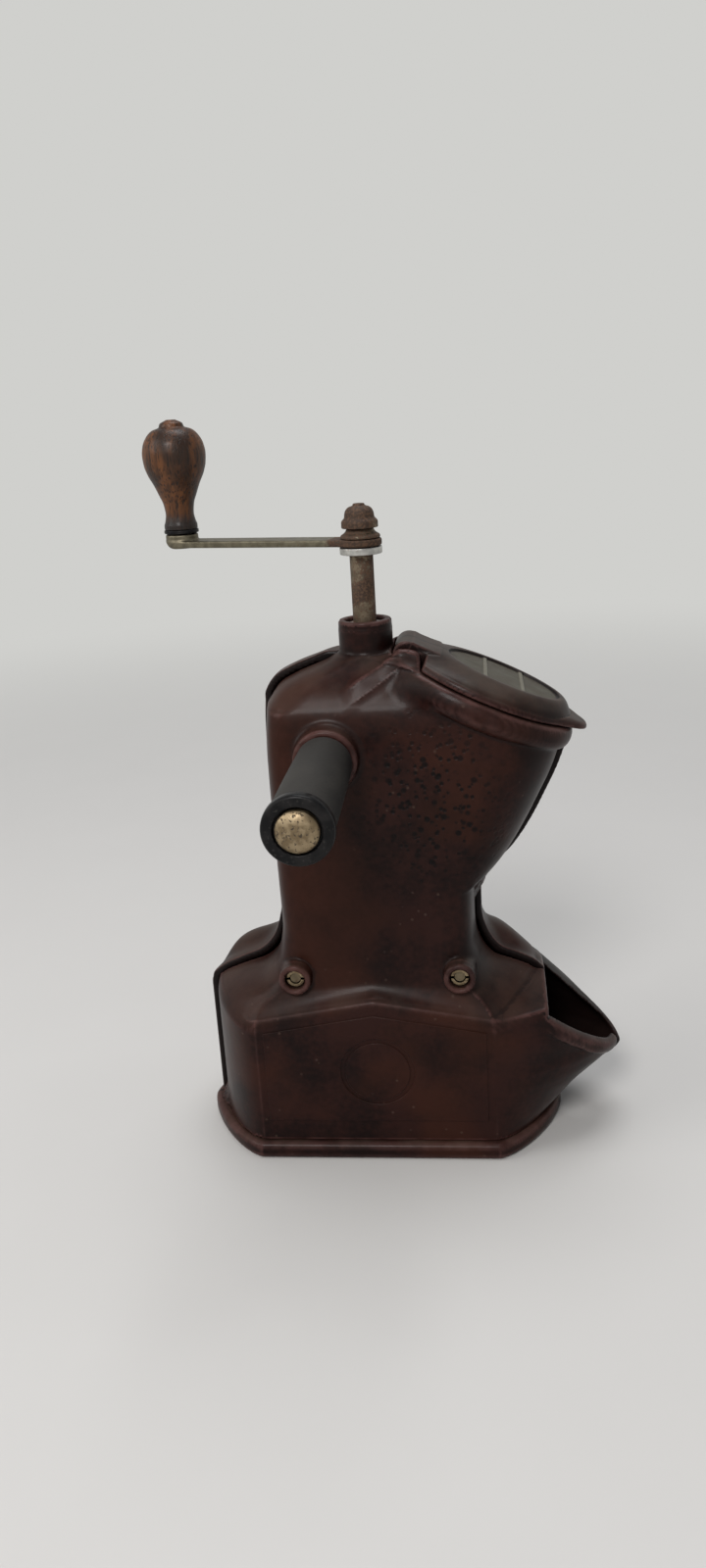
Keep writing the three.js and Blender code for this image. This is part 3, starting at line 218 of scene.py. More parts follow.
class NodeWork:
    def __init__(self, tree):
        self.tree = tree

    def node(self, kind, settings, values, output=0):
        node = self.tree.nodes.new(kind)
        for setting, value in settings.items():
            setattr(node, setting, value)
        for socket, value in values.items():
            self.feed(node.inputs[socket], value)
        return Wire(self, node.outputs[output])

    def feed(self, socket, value):
        for each in value if isinstance(value, list) else [value]:
            if isinstance(each, Wire):
                self.tree.links.new(each.socket, socket)
            else:
                socket.default_value = each


class Finish(NodeWork):
    def __init__(self, name, fixed):
        self.material = bpy.data.materials.new(name)
        self.material.use_nodes = True
        super().__init__(self.material.node_tree)
        self.shader = self.tree.nodes["Principled BSDF"]
        for socket, value in fixed.items():
            self.shader.inputs[socket].default_value = value
        self.place = self.node("ShaderNodeTexCoord", {}, {}, "Object")

    def spot(self, size, stretch, shift):
        # the place on the piece, counted in steps of size millimetres
        scale = tuple(1 / (size * mm * part) for part in stretch)
        return self.node("ShaderNodeVectorMath", {"operation": "MULTIPLY_ADD"},
                         {0: self.place, 1: scale, 2: (shift,) * 3})

    def noise(self, size, detail=2, stretch=(1, 1, 1), shift=0):
        return self.node("ShaderNodeTexNoise", {},
                         {"Vector": self.spot(size, stretch, shift), "Scale": 1, "Detail": detail})

    def cells(self, size, shift=0):
        spot = self.spot(size, (1, 1, 1), shift)
        return self.node("ShaderNodeTexVoronoi", {}, {"Vector": spot, "Scale": 1})

    def near(self, centre, reach, soft):
        # 1 inside an ellipsoid given in millimetres, 0 well outside it
        moved = self.node("ShaderNodeVectorMath", {"operation": "SUBTRACT"},
                          {0: self.place, 1: tuple(part * mm for part in centre)})
        scaled = self.node("ShaderNodeVectorMath", {"operation": "DIVIDE"},
                           {0: moved, 1: tuple(part * mm for part in reach)})
        away = self.node("ShaderNodeVectorMath", {"operation": "LENGTH"}, {0: scaled}, "Value")
        return away.between(1 + soft, 1 - soft)

    def mark(self, name):
        return self.node("ShaderNodeAttribute", {"attribute_name": name}, {}, "Fac")

    def tint(self, mask, first, second):
        first, second = (part if isinstance(part, Wire) else (*part, 1) for part in (first, second))
        return self.node("ShaderNodeMix", {"data_type": "RGBA"}, {0: mask, 6: first, 7: second}, 2)

    def lay(self, colour, roughness, height=None, metal=None):
        # height is in millimetres
        self.feed(self.shader.inputs["Base Color"], colour)
        self.feed(self.shader.inputs["Roughness"], roughness)
        if metal is not None:
            self.feed(self.shader.inputs["Metallic"], metal)
        if height is not None:
            bump = self.node("ShaderNodeBump", {}, {"Height": height, "Distance": mm, "Strength": 1})
            self.feed(self.shader.inputs["Normal"], bump)
        return self.material


# Moulded maroon plastic: cloudy, dusty where it faces up, worn pale on its edges with a painted highlight
# there, painted shade in its creases, grime and painted shade at the seam, pitted on the bowl

plasticLook = dict(
    dark=(0.0074, 0.0027, 0.0023), light=(0.0235, 0.0075, 0.0056), cloudSize=30, grainSize=2.2,
    brown=(0.042, 0.0125, 0.0062), brownSize=46, brownAmount=0.55,
    dust=(0.088, 0.056, 0.043), dustSize=13, dustAmount=0.38, speckSize=5.5, speckAmount=0.4,
    # the pale edge colour paints wear and a highlight along edges; the sunk colour paints shade in creases
    edgeWearAndHighlight=(0.125, 0.060, 0.054), edgeWearAndHighlightSize=6, edgeWearAndHighlightAmount=0.5, sunk=(0.009, 0.0045, 0.004), creaseShadeAmount=0.6,
    # the seam colour is grime and painted shade along the joint of the halves
    seam=(0.004, 0.003, 0.003), seamGrimeAndShadeAmount=0.9, inside=(0.0045, 0.0028, 0.0026), insideAmount=0.85,
    pit=(0.0034, 0.0016, 0.0015), pitCentre=(24, -34, 146), pitReach=(26, 24, 31), pitSize=2.6,
    pitDepth=0.24, pitAmount=0.95, gloss=0.1, roughness=0.29, coat=0.05, coatRoughness=0.16,
    plaqued=False, plaque=(0.082, 0.077, 0.058), rib=(0.17, 0.16, 0.125), outline=(0.010, 0.0085, 0.0075),
)


def plastic(name, **changes):
    look = dict(plasticLook, **changes)
    f = Finish(name, {"Specular IOR Level": look["gloss"], "Coat Weight": look["coat"],
                      "Coat Roughness": look["coatRoughness"]})
    cloud = f.noise(look["cloudSize"], 4)
    grain = f.noise(look["grainSize"], 4, shift=3)
    colour = f.tint((0.72 * cloud + 0.28 * grain).between(0.38, 0.62), look["dark"], look["light"])
    browner = f.noise(look["brownSize"], 3, shift=31).between(0.5, 0.68)
    colour = f.tint(browner * look["brownAmount"], colour, look["brown"])

    # dust lies where it faces up, and in specks
    film = f.mark("upward").between(0.1, 0.98) * f.noise(look["dustSize"], 5, shift=7).between(0.2, 0.7)
    dusty = film * look["dustAmount"]
    colour = f.tint(dusty, colour, look["dust"])
    specks = f.cells(look["speckSize"], 1).between(0.14, 0.06) * f.noise(24, 2, shift=4).between(0.52, 0.6)
    colour = f.tint(specks * look["speckAmount"], colour, look["dust"])

    # worn edges that also carry a painted highlight, and painted shade in the corners
    patches = 0.3 + 0.7 * f.noise(look["edgeWearAndHighlightSize"], 4, shift=9).between(0.3, 0.65)
    wearAndHighlight = f.mark("edge").between(0.012, 0.085) * patches
    colour = f.tint(wearAndHighlight * look["edgeWearAndHighlightAmount"], colour, look["edgeWearAndHighlight"])
    # painted shade in the concave creases, where the edge mark falls below zero
    colour = f.tint(f.mark("edge").between(-0.012, -0.07) * look["creaseShadeAmount"], colour, look["sunk"])

    # the seam is the plane y = 0, here in metres; there the colour goes near-black, for grime and painted
    # shade in the gap between the halves
    across = f.node("ShaderNodeSeparateXYZ", {}, {0: f.place}, 1)
    seam = across.between(-0.0007, -0.0003) * across.between(0.0008, 0.0004)
    colour = f.tint(seam * look["seamGrimeAndShadeAmount"], colour, look["seam"])

    # pits on the bowl, and dark inside walls
    area = f.near(look["pitCentre"], look["pitReach"], 0.5)
    spots = f.cells(look["pitSize"], 5).between(0.42, 0.2) * f.noise(7, 3, shift=5).between(0.4, 0.5)
    pits = area * (spots + f.cells(1.7 * look["pitSize"], 8).between(0.36, 0.16))
    colour = f.tint(pits * look["pitAmount"], colour, look["pit"])
    colour = f.tint(f.mark("within") * look["insideAmount"], colour, look["inside"])

    roughness = look["roughness"] + 0.16 * f.noise(7, 5, stretch=(1, 1, 3), shift=12) + 0.3 * dusty
    roughness = roughness + 0.12 * pits - 0.04 * wearAndHighlight
    if look["plaqued"]:
        # grey in the lid's oval, with a dark line round it and pale ribs
        inlay = f.mark("inlay")
        grey = inlay.between(0.55, 0.9)
        smear = f.noise(6, 5, shift=21).between(0.3, 0.7)
        colour = f.tint(inlay.between(0.4, 0.1) * 0.92, colour, look["outline"])
        colour = f.tint(grey * (0.55 + 0.4 * smear), colour, look["plaque"])
        colour = f.tint(inlay.between(1.1, 1.5) * 0.8, colour, look["rib"])
        roughness = roughness + 0.12 * grey
    height = 0.03 * grain + 0.08 * f.noise(9, 3, shift=15) - look["pitDepth"] * pits
    return f.lay(colour, roughness, height)


# Black grip: worn to a dusty grey, with a fine grain

gripLook = dict(dark=(0.0055, 0.005, 0.0046), light=(0.022, 0.0195, 0.0165), dust=(0.064, 0.059, 0.051),
                dustAmount=0.3, patchSize=14, grainSize=0.9, gloss=0.25, roughness=0.58)


def gripFinish():
    look = gripLook
    f = Finish("worn_black_grip", {"Specular IOR Level": look["gloss"]})
    patch = f.noise(look["patchSize"], 5, stretch=(1, 2.2, 1))
    fine = f.noise(look["grainSize"], 3)
    colour = f.tint((0.7 * patch + 0.3 * fine).between(0.36, 0.66), look["dark"], look["light"])
    colour = f.tint(f.mark("upward").between(0.1, 1) * look["dustAmount"], colour, look["dust"])
    return f.lay(colour, look["roughness"] + 0.2 * patch, 0.05 * fine + 0.05 * patch)


# Glossy black rings, with a little dust

glossLook = dict(dark=(0.006, 0.006, 0.0065), light=(0.016, 0.015, 0.015), dust=(0.07, 0.065, 0.06),
                 dustAmount=0.35, gloss=0.1, roughness=0.24, coat=0.04, coatRoughness=0.1)


def glossFinish():
    look = glossLook
    f = Finish("glossy_black", {"Specular IOR Level": look["gloss"], "Coat Weight": look["coat"],
                                "Coat Roughness": look["coatRoughness"]})
    patch = f.noise(6, 4)
    colour = f.tint(patch.between(0.4, 0.7), look["dark"], look["light"])
    dust = f.noise(1.1, 3, shift=3).between(0.6, 0.72)
    colour = f.tint(dust * look["dustAmount"], colour, look["dust"])
    return f.lay(colour, look["roughness"] + 0.2 * patch + 0.3 * dust, 0.03 * patch)


# Turned wood: dark grain along the knob, and darker at its foot

woodLook = dict(
    dark=(0.012, 0.0068, 0.0045), mid=(0.055, 0.0205, 0.0075), pale=(0.135, 0.050, 0.016),
    foot=(0.012, 0.009, 0.008), footHeight=247, gloss=0.25, roughness=0.36, coat=0.12, coatRoughness=0.25,
)


def woodFinish():
    look = woodLook
    f = Finish("turned_wood", {"Specular IOR Level": look["gloss"], "Coat Weight": look["coat"],
                               "Coat Roughness": look["coatRoughness"]})
    streak = f.noise(2.2, 4, stretch=(1, 1, 9))
    pore = f.noise(0.7, 2, stretch=(1, 1, 12), shift=4)
    broad = f.noise(9, 3, stretch=(1, 1, 3), shift=8)
    colour = f.tint((0.6 * streak + 0.4 * broad).between(0.38, 0.64), look["mid"], look["pale"])
    colour = f.tint(broad.between(0.58, 0.36) * 0.75, colour, look["dark"])
    colour = f.tint(pore.between(0.54, 0.64) * 0.85, colour, look["dark"])
    foot = f.near((0, 0, look["footHeight"]), (200, 200, 5), 0.5)
    colour = f.tint(foot * 0.9, colour, look["foot"])
    height = -0.09 * pore.between(0.5, 0.64) + 0.05 * streak
    return f.lay(colour, look["roughness"] + 0.25 * broad, height)


# Metals: rustiness is the share of the surface that is brown, hub an area that is browner

brassLook = dict(bright=(0.36, 0.28, 0.175), dull=(0.21, 0.155, 0.092), pit=(0.040, 0.028, 0.019),
                 roughness=0.36)
steelLooks = {
    "pale_steel": dict(clean=(0.56, 0.55, 0.52), rust=(0.20, 0.10, 0.045), rustiness=0.2, roughness=0.34),
    "plain_steel": dict(clean=(0.36, 0.34, 0.31), rust=(0.17, 0.08, 0.035), rustiness=0.38, roughness=0.4),
    "worn_screw_steel": dict(clean=(0.23, 0.185, 0.12), rust=(0.12, 0.07, 0.035), rustiness=0.3,
                             roughness=0.45),
    "rusty_steel": dict(clean=(0.19, 0.15, 0.105), rust=(0.095, 0.050, 0.027), rustiness=0.58,
                        roughness=0.4),
    "arm_steel": dict(clean=(0.175, 0.155, 0.11), rust=(0.09, 0.046, 0.024), rustiness=0.14,
                      roughness=0.42, hub=((0, 0, 241), (13, 13, 20), 0.35)),
}
ironLook = dict(dark=(0.045, 0.042, 0.038), light=(0.115, 0.108, 0.10), rust=(0.10, 0.045, 0.02),
                rustAmount=0.6, metal=0.55, roughness=0.55)


def brassFinish(name, pitting):
    look = brassLook
    f = Finish(name, {})
    patch = f.noise(3.2, 4)
    pits = f.noise(1.1, 3, shift=6).between(0.56, 0.66) * pitting
    colour = f.tint(patch.between(0.38, 0.62), look["dull"], look["bright"])
    colour = f.tint(pits, colour, look["pit"])
    roughness = look["roughness"] + 0.2 * patch + 0.3 * pits
    return f.lay(colour, roughness, 0.08 * patch - 0.12 * pits, 1 - 0.7 * pits)


def steelFinish(name, clean, rust, rustiness, roughness, hub=None):
    f = Finish(name, {})
    patch = f.noise(7, 5)
    fine = f.noise(0.8, 4, shift=2)
    edge = 0.72 - 0.5 * rustiness
    mask = 0.6 * patch + 0.4 * fine
    if hub is not None:
        mask = mask + 0.28 * f.near(*hub)
    rusted = mask.between(edge - 0.05, edge + 0.06)
    colour = f.tint(f.noise(2.5, 3, shift=5).between(0.35, 0.65), tuple(0.7 * part for part in clean), clean)
    brown = f.tint(fine.between(0.4, 0.62), tuple(0.4 * part for part in rust), rust)
    colour = f.tint(rusted, colour, brown)
    roughness = roughness + 0.3 * rusted + 0.12 * fine
    return f.lay(colour, roughness, 0.015 * fine + 0.03 * rusted * fine, 1 - 0.85 * rusted)


def ironFinish():
    look = ironLook
    f = Finish("cast_iron", {"Metallic": look["metal"]})
    patch = f.noise(5, 5)
    fine = f.noise(0.6, 3, shift=2)
    colour = f.tint(patch.between(0.35, 0.65), look["dark"], look["light"])
    colour = f.tint(fine.between(0.6, 0.72) * look["rustAmount"], colour, look["rust"])
    return f.lay(colour, look["roughness"] + 0.2 * fine, 0.09 * fine + 0.05 * patch)


shellFinish = plastic("maroon_plastic")
footFinish = plastic("maroon_plastic_foot", dustAmount=0.55)
lidFinish = plastic("maroon_plastic_lid", dustAmount=0.45, dust=(0.098, 0.078, 0.061), plaqued=True)
panelFinish = plastic("maroon_plastic_panel", dustAmount=0.2)
blackGrip, glossBlack, wood, castIron = gripFinish(), glossFinish(), woodFinish(), ironFinish()
pittedBrass, sleeveBrass = brassFinish("pitted_brass", 0.85), brassFinish("dull_brass", 0.5)
paleSteel, plainSteel, screwSteel, rustySteel, armSteel = (
    steelFinish(name, **look) for name, look in steelLooks.items())

print("finishes made")


# Pieces: a mesh in metres with its marks for dust, and for worn edges with their painted highlight and the
# painted shade in creases

def addObject(name, data):
    added = bpy.data.objects.new(name, data)
    bpy.context.scene.collection.objects.link(added)
    return added


def addMesh(mesh, name, finish, body, replaced=()):
    piece = addObject(name, mesh)
    mesh.materials.clear()
    mesh.materials.append(finish)
    markUpward(mesh)
    if replaced:
        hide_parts(*replaced)
    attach(piece, body)


def meshOf(name, points, faces, smoothTo=180, normals=None):
    # points in millimetres, merged where they meet unless each has its own normal
    mesh = bpy.data.meshes.new(name)
    mesh.from_pydata((np.asarray(points) * mm).tolist(), [], [list(map(int, face)) for face in faces])
    if normals is None:
        mergePoints(mesh)
    mesh.update()
    mesh.shade_smooth()
    if smoothTo < 180:
        mesh.set_sharp_from_angle(angle=math.radians(smoothTo))
    if normals is not None:
        mesh.normals_split_custom_set_from_vertices(normals.tolist())
    return mesh


def mergePoints(mesh, turnOutwards=False):
    work = bmesh.new()
    work.from_mesh(mesh)
    bmesh.ops.remove_doubles(work, verts=work.verts, dist=0.001 * mm)
    if turnOutwards:
        bmesh.ops.recalc_face_normals(work, faces=work.faces)
    work.to_mesh(mesh)
    work.free()


def writeMark(mesh, name, values):
    mark = mesh.attributes.new(name, "FLOAT", "POINT")
    mark.data.foreach_set("value", values.astype(np.float32))


def markUpward(mesh):
    # how far each point faces up at rest, for dust that stays on the piece when it moves
    normals = np.empty(3 * len(mesh.vertices))
    mesh.vertices.foreach_get("normal", normals)
    writeMark(mesh, "upward", normals.reshape(-1, 3)[:, 2])


def markEdges(mesh, points, faces, normals, cell):
    # how far each point stands out past its neighbours, for wear and a painted highlight on edges, and
    # painted shade in creases
    writeMark(mesh, "edge", ((points - meanOfNeighbours(points, faces)) * normals).sum(axis=1) / cell)


def skinPiece(name, away, box, cell, finish, body, replaced, place=None, marks=()):
    points, faces = skinOf(away, box, cell)
    marked = {key: share(points) for key, share in dict(marks).items()}
    slope = slopeOf(away, points, 0.25 * cell)
    normals = slope / np.maximum(np.linalg.norm(slope, axis=1), 1e-9)[:, None]
    if place is not None:
        turn = np.array(place.to_3x3())
        points = points @ turn.T + np.array(place.translation)
        normals = normals @ turn.T
    mesh = meshOf(name, points, faces, normals=normals)
    markEdges(mesh, points, faces, normals, cell)
    for key, values in marked.items():
        writeMark(mesh, key, values)
    print(name, "made,", len(faces), "faces")
    addMesh(mesh, name, finish, body, replaced)


# Turned pieces, from corners of radius, height and rounding

def roundedProfile(corners, steps=5):
    points = []
    for i, (radius, height, rounding) in enumerate(corners):
        here = np.array([radius, height])
        if not rounding or i in (0, len(corners) - 1):
            points.append(here)
            continue
        before, after = (np.array(corners[j][:2]) - here for j in (i - 1, i + 1))
        start, end = (here + arm * min(1, rounding / np.linalg.norm(arm)) for arm in (before, after))
        for t in np.linspace(0, 1, steps + 1):
            points.append((1 - t) ** 2 * start + 2 * t * (1 - t) * here + t * t * end)
    return points


def turnedMesh(profile, place, segments=72, flats=None):
    # flats is the distance from the axis to each of six flat sides
    points, rings, faces = [], [], []
    for radius, height in profile:
        if radius < 1e-6:
            rings.append([len(points)] * segments)
            points.append((0, 0, height))
            continue
        rings.append([len(points) + i for i in range(segments)])
        for i in range(segments):
            angle = 2 * math.pi * i / segments
            out = radius
            if flats:
                out = min(radius, flats / math.cos((angle % (math.pi / 3)) - math.pi / 6))
            points.append((out * math.cos(angle), out * math.sin(angle), height))
    for low, high in zip(rings, rings[1:]):
        for i in range(segments):
            j = (i + 1) % segments
            face = list(dict.fromkeys([low[i], low[j], high[j], high[i]]))
            if len(face) > 2:
                faces.append(face)
    placed = np.array([place @ Vector(point) for point in points])
    volume = sum(np.dot(placed[f[0]], np.cross(placed[f[1]], placed[f[2]])) for f in faces)
    volume += sum(np.dot(placed[f[0]], np.cross(placed[f[2]], placed[f[3]])) for f in faces if len(f) > 3)
    if volume < 0:
        faces = [face[::-1] for face in faces]
    return placed, faces


def turnedPiece(name, corners, place, finish, body, replaced, segments=72, flats=None, smooth=False):
    # smooth corners are a finished profile of radius and height
    profile = corners if smooth else roundedProfile(corners)
    points, faces = turnedMesh(profile, place, segments, flats)
    addMesh(meshOf(name, points, faces, smoothTo=42), name, finish, body, replaced)


# Shells

shell = dict(
    baseBottom=7.3, baseCentre=-2.1, baseHalfLength=68.2, baseHalfDepth=36.5, baseCorner=46.5,
    ridgeHeight=59.4, ridgeRound=1.8, ridgeRise=8.8, ridgeEndRise=4.4, ridgeCorner=50.5,
    ridgeApex=1.2, beakFlare=36.9, beakTipReach=97, tipPast=0.2, beakTipHeight=32, beakSlope=39.5,
    hoodReach=66, rimProud=1.3, rimHeight=5.2, rimFrom=63, rimFade=8,
    waistFoot=96, waistHalfWidth=38.3, waistHalfDepth=27.6, waistCorner=22,
    roofEdge=181, roofHalfWidth=39.4, roofHalfDepth=29.2, bowlReach=74, roofSoft=3.4,
    neckFoot=200, neckEdge=10.9, neckRadius=10.1, neckTop=212, neckRoot=187,
    wall=3.2, seamLip=2.7, seamGap=0.15, cavityTop=195.3, cell=0.98,
    frontBox=((-74, -40, 4), (101, 2, 215)), rearBox=((-77, -2, 4), (103, 42, 215)),
)
# how softly the shells' forms meet and end
softness = dict(dome=6, swell=4, hood=4, tip=3, top=1.2, foot=0.5, grip=2.6, mouth=1.2, ear=5.5,
                lidSeat=0.5, screw=0.9, collar=1.6, hollow=0.9, opening=1.3, hump=0.6, inner=0.6, bore=0.5,
                seam=0.9)
# height up the base, reach of the beak's flare, and power of its end
beakShares = [
    (0, 0.08, 1.5), (0.1, 0.22, 1.5), (0.26, 0.43, 1.5), (0.38, 0.63, 1.5), (0.45, 0.74, 1.5),
    (0.53, 0.81, 1.5), (0.65, 0.93, 1.4), (0.78, 0.98, 1.4), (0.95, 1, 1.3),
]
# height up the shoulder; left end, right end, depth and corner drawn in; gable kept; powers of the ends
shoulderShares = [
    (0, 0.03, 0.01, 0.12, 0.01, 1, 1.5, 1.25), (0.042, 0.09, 0.618, 0.26, 0.036, 0.97, 1.6, 1.2),
    (0.119, 0.21, 0.668, 0.44, 0.107, 0.76, 1.8, 1.25), (0.223, 0.431, 0.77, 0.625, 0.25, 0.5, 2.1, 1.5),
    (0.326, 0.681, 0.884, 0.77, 0.46, 0.3, 2.4, 2), (0.456, 0.828, 0.938, 0.86, 0.68, 0.1, 2.8, 2.6),
    (0.585, 0.906, 0.971, 0.94, 0.82, 0, 3.3, 3.3), (0.767, 0.965, 0.996, 0.98, 0.93, 0, 3.8, 3.8),
    (1, 1, 1, 1, 1, 0, 4, 4),
]
# height up the body, reach of the bowl, and power of its end
bowlShares = [
    (0.147, 0.01, 3.8), (0.171, 0.075, 3.2), (0.2, 0.174, 2.7), (0.26, 0.325, 2.3), (0.34, 0.465, 2.1),
    (0.44, 0.605, 2), (0.55, 0.735, 2), (0.67, 0.868, 2), (0.78, 0.955, 2), (0.9, 1, 2), (1, 1, 2),
]
# height up the roof; left end, right end, depth and corners drawn in; power of the left end
roofShares = [
    (0.105, 0.05, 0.08, 0.228, 0.02, 3.4), (0.21, 0.09, 0.175, 0.29, 0.07, 3.1),
    (0.42, 0.2, 0.447, 0.432, 0.2, 2.7), (0.63, 0.452, 0.7, 0.62, 0.45, 2.3),
    (0.87, 0.86, 0.925, 0.88, 0.8, 2), (1, 1, 1, 1, 1, 2),
]
# blend: places along x, and how softly the bead meets the shell there
mouth = dict(centre=44, height=184, tilt=math.radians(25), halfLength=34.6, halfWidth=27.6, cupDepth=15,
             depth=24, beadProud=3.6, beadHeight=9.8, beadMiddle=5.4, blend=((14, 34), (6, 0.7)))


def shellLevels():
    # gable is how much of the ridge's gable is left, and drop how much lower the wall's inside lies
    s = shell
    left, right = s["baseHalfLength"] - s["baseCentre"], s["baseHalfLength"] + s["baseCentre"]
    cornerLeft, cornerRight = s["baseCorner"] - s["baseCentre"], s["baseCorner"] + s["baseCentre"]
    keys = ("height", "left", "right", "depth", "cornerLeft", "cornerRight", "powerLeft", "powerRight",
            "gable", "drop")
    rows = []
    for up, reach, power in beakShares:
        height = mix(s["baseBottom"], s["ridgeHeight"] - s["ridgeRound"], up)
        rows.append((height, left, right + reach * s["beakFlare"], s["baseHalfDepth"], cornerLeft,
                     cornerRight, 1.6, power, up ** 3, 0))
    for up, goLeft, goRight, goDepth, corner, kept, powerLeft, powerRight in shoulderShares:
        rows.append((
            mix(s["ridgeHeight"], s["waistFoot"], up), mix(left, s["waistHalfWidth"], goLeft),
            mix(right + s["beakFlare"], s["waistHalfWidth"], goRight),
            mix(s["baseHalfDepth"], s["waistHalfDepth"], goDepth), mix(cornerLeft, s["waistCorner"], corner),
            mix(cornerRight, s["waistCorner"], corner), powerLeft, powerRight, kept, 4 * up * (1 - up),
        ))
    for up, reach, power in bowlShares:
        rows.append((
            mix(s["waistFoot"], s["roofEdge"], up),
            mix(s["waistHalfWidth"], s["roofHalfWidth"], up) - 0.4 * s["roofSoft"] * up ** 8,
            mix(s["waistHalfWidth"], s["bowlReach"], reach),
            mix(s["waistHalfDepth"], s["roofHalfDepth"], up) - s["roofSoft"] * up ** 8, s["waistCorner"],
            mix(s["waistCorner"], mouth["centre"], reach), 4, power, 0, -(1 - reach) * reach,
        ))
    for up, goLeft, goRight, goDepth, corner, power in roofShares:
        rows.append((
            mix(s["roofEdge"], s["neckFoot"], up), mix(s["roofHalfWidth"], s["neckEdge"], goLeft),
            mix(s["bowlReach"], s["neckEdge"], goRight), mix(s["roofHalfDepth"], s["neckEdge"], goDepth),
            mix(s["waistCorner"], 0, corner), mix(mouth["centre"], 0, corner), power, 2, 0,
            min(0.7, 3 * up),
        ))
    return dict(zip(keys, np.array(rows).T))


def rowAway(x, y, row):
    # the distance to one level's outline
    right = x > 0
    return outlineAway(
        x, y, np.where(right, row["right"], row["left"]), row["depth"],
        np.where(right, row["cornerRight"], row["cornerLeft"]),
        np.where(right, row["powerRight"], row["powerLeft"]),
    )


def insetLevels(levels, wall):
    # the same outlines, a wall further in
    inner = dict(levels)
    for end in ("Left", "Right"):
        reach, corner = levels[end.lower()], levels["corner" + end]
        slant = np.hypot(reach - corner, levels["depth"]) / levels["depth"]
        inner[end.lower()] = reach - wall * np.where(levels["power" + end] < 2, slant, 1)
        inner["corner" + end] = np.maximum(0, corner - wall / 2)
    inner["depth"] = levels["depth"] - wall
    inner["height"] = levels["height"] - levels["drop"] * wall
    return inner


def gableRise(rows, x):
    # the front ridge rises to its middle, and again along the slanted ends
    middle = shell["baseCentre"]
    end = "Right" if x > middle else "Left"
    low = rows["corner" + end] * shell["ridgeCorner"] / shell["baseCorner"]
    apex = math.hypot(x - middle, shell["ridgeApex"]) - 0.25 * shell["ridgeApex"]
    share = apex / np.abs(math.copysign(1, x - middle) * low - middle)
    far = np.clip((abs(x) - low) / np.maximum(rows[end.lower()] - low, 1), 0, 1.2)
    rise = np.where(share <= 1, shell["ridgeRise"] * (1 - share), shell["ridgeEndRise"] * far)
    return rows["gable"] * rise


class Skin:
    # the distance to the outlines of the shells, level by level, with ten levels looked up to a millimetre
    def __init__(self, levels):
        count = len(levels["height"])
        fine = np.linspace(0, count - 1, 8 * (count - 1) + 1)
        self.rows = {key: steadyCurve(values, fine) for key, values in levels.items()}
        self.xs, self.zs = np.arange(-90, 112.0), np.arange(0, 206, 0.1)
        self.level = np.empty((len(self.xs), len(self.zs)))
        for i, x in enumerate(self.xs):
            rise = np.maximum.accumulate(self.rows["height"] + gableRise(self.rows, x))
            self.level[i] = np.interp(self.zs, rise, np.arange(len(fine)))

    def levelAt(self, x, z):
        i = np.clip(x - self.xs[0], 0, len(self.xs) - 1.001)
        j = np.clip(10 * (z - self.zs[0]), 0, len(self.zs) - 1.001)
        a, b = i.astype(int), j.astype(int)
        low = mix(self.level[a, b], self.level[a + 1, b], i - a)
        high = mix(self.level[a, b + 1], self.level[a + 1, b + 1], i - a)
        return mix(low, high, j - b)

    def flatAway(self, x, y, z):
        level = np.clip(self.levelAt(x, z), 0, len(self.rows["height"]) - 1.001)
        below = level.astype(int)
        share = level - below
        row = {key: mix(values[below], values[below + 1], share) for key, values in self.rows.items()
               if key not in ("height", "gable", "drop")}
        return rowAway(x, y, row)

    def inset(self, p, wall):
        # the distance to the inside of an even wall, also under a flat hood
        x, y, z = p.T
        turns = np.linspace(-0.5 * math.pi, 0.5 * math.pi, 5)
        return np.max([self.flatAway(x, y, z + wall * math.sin(turn)) + wall * math.cos(turn)
                       for turn in turns], axis=0)

    def away(self, p):
        x, y, z = p.T
        below, above = self.flatAway(x, y, z - 0.4), self.flatAway(x, y, z + 0.4)
        return self.flatAway(x, y, z) / np.sqrt(1 + ((above - below) / 0.8) ** 2)


levels = shellLevels()
front, rear = -1, 1
grown = {front: 0, rear: shell["seamLip"]}
outside = {side: Skin(insetLevels(levels, -grown[side])) for side in (front, rear)}

# what the shells carry and hold, and where
gripPlace = dict(x=-14.3, z=166, boss=12, bossFace=-35, rearBoss=9, rearFace=34.5, pillar=6.6, bore=3.3)
screwPlace = dict(x=32, z=77.3, boss=6.2, face=34, bore=2.3, sleeve=4, sleeveEnd=-12.3, head=4.3,
                  headSeat=30)
# the rear half's round shoulders, and the slope that cuts the right one off
domes = [dict(centre=(43.5, 18, 62), reach=(21, 18.5, 17)), dict(centre=(-44, 18, 52), reach=(31, 17, 25))]
hood = dict(x=58, top=70.2, slope=1, lean=0.46, leanFrom=18, low=43, high=90, base=45)
# posts for the tray's screws, hinge, burr plate and bush
postPlace = dict(x=42, front=-31, rear=33.7, radius=4.2, low=10.3, high=30, bore=1.9, boreTop=27)
hinge = dict(x=15.8, z=199.6, pin=1.2, pinHalfLength=13.9, bore=1.5, boreHalfLength=14.1, clear=5.5,
             near=11.5, thick=3.4, reach=5, rise=2.6, foot=178, crestTurn=125)
# the fin from the ear's crest down to the roof, and how it fades along and down
fin = dict(tail=(-5.4, 189.5), past=1.35, end=6, bend=0.85, spread=5.5, lean=0.38, soft=1.4, fade=1.2,
           fadeFrom=0.75, deepFade=0.6, deepFrom=5)
plate = dict(bottom=112, top=115, ledge=3.2, ledgeWidth=3.6, tube=22.3, gap=0.3)
bushHole = dict(radius=7.5, grooveRadius=8.8, grooveLow=195.7, grooveHigh=199.3)


def mouthPlace(x, z):
    # along and above the slanted mouth
    cos, sin = math.cos(mouth["tilt"]), math.sin(mouth["tilt"])
    along = (x - mouth["centre"]) * cos - (z - mouth["height"]) * sin
    return along, (x - mouth["centre"]) * sin + (z - mouth["height"]) * cos


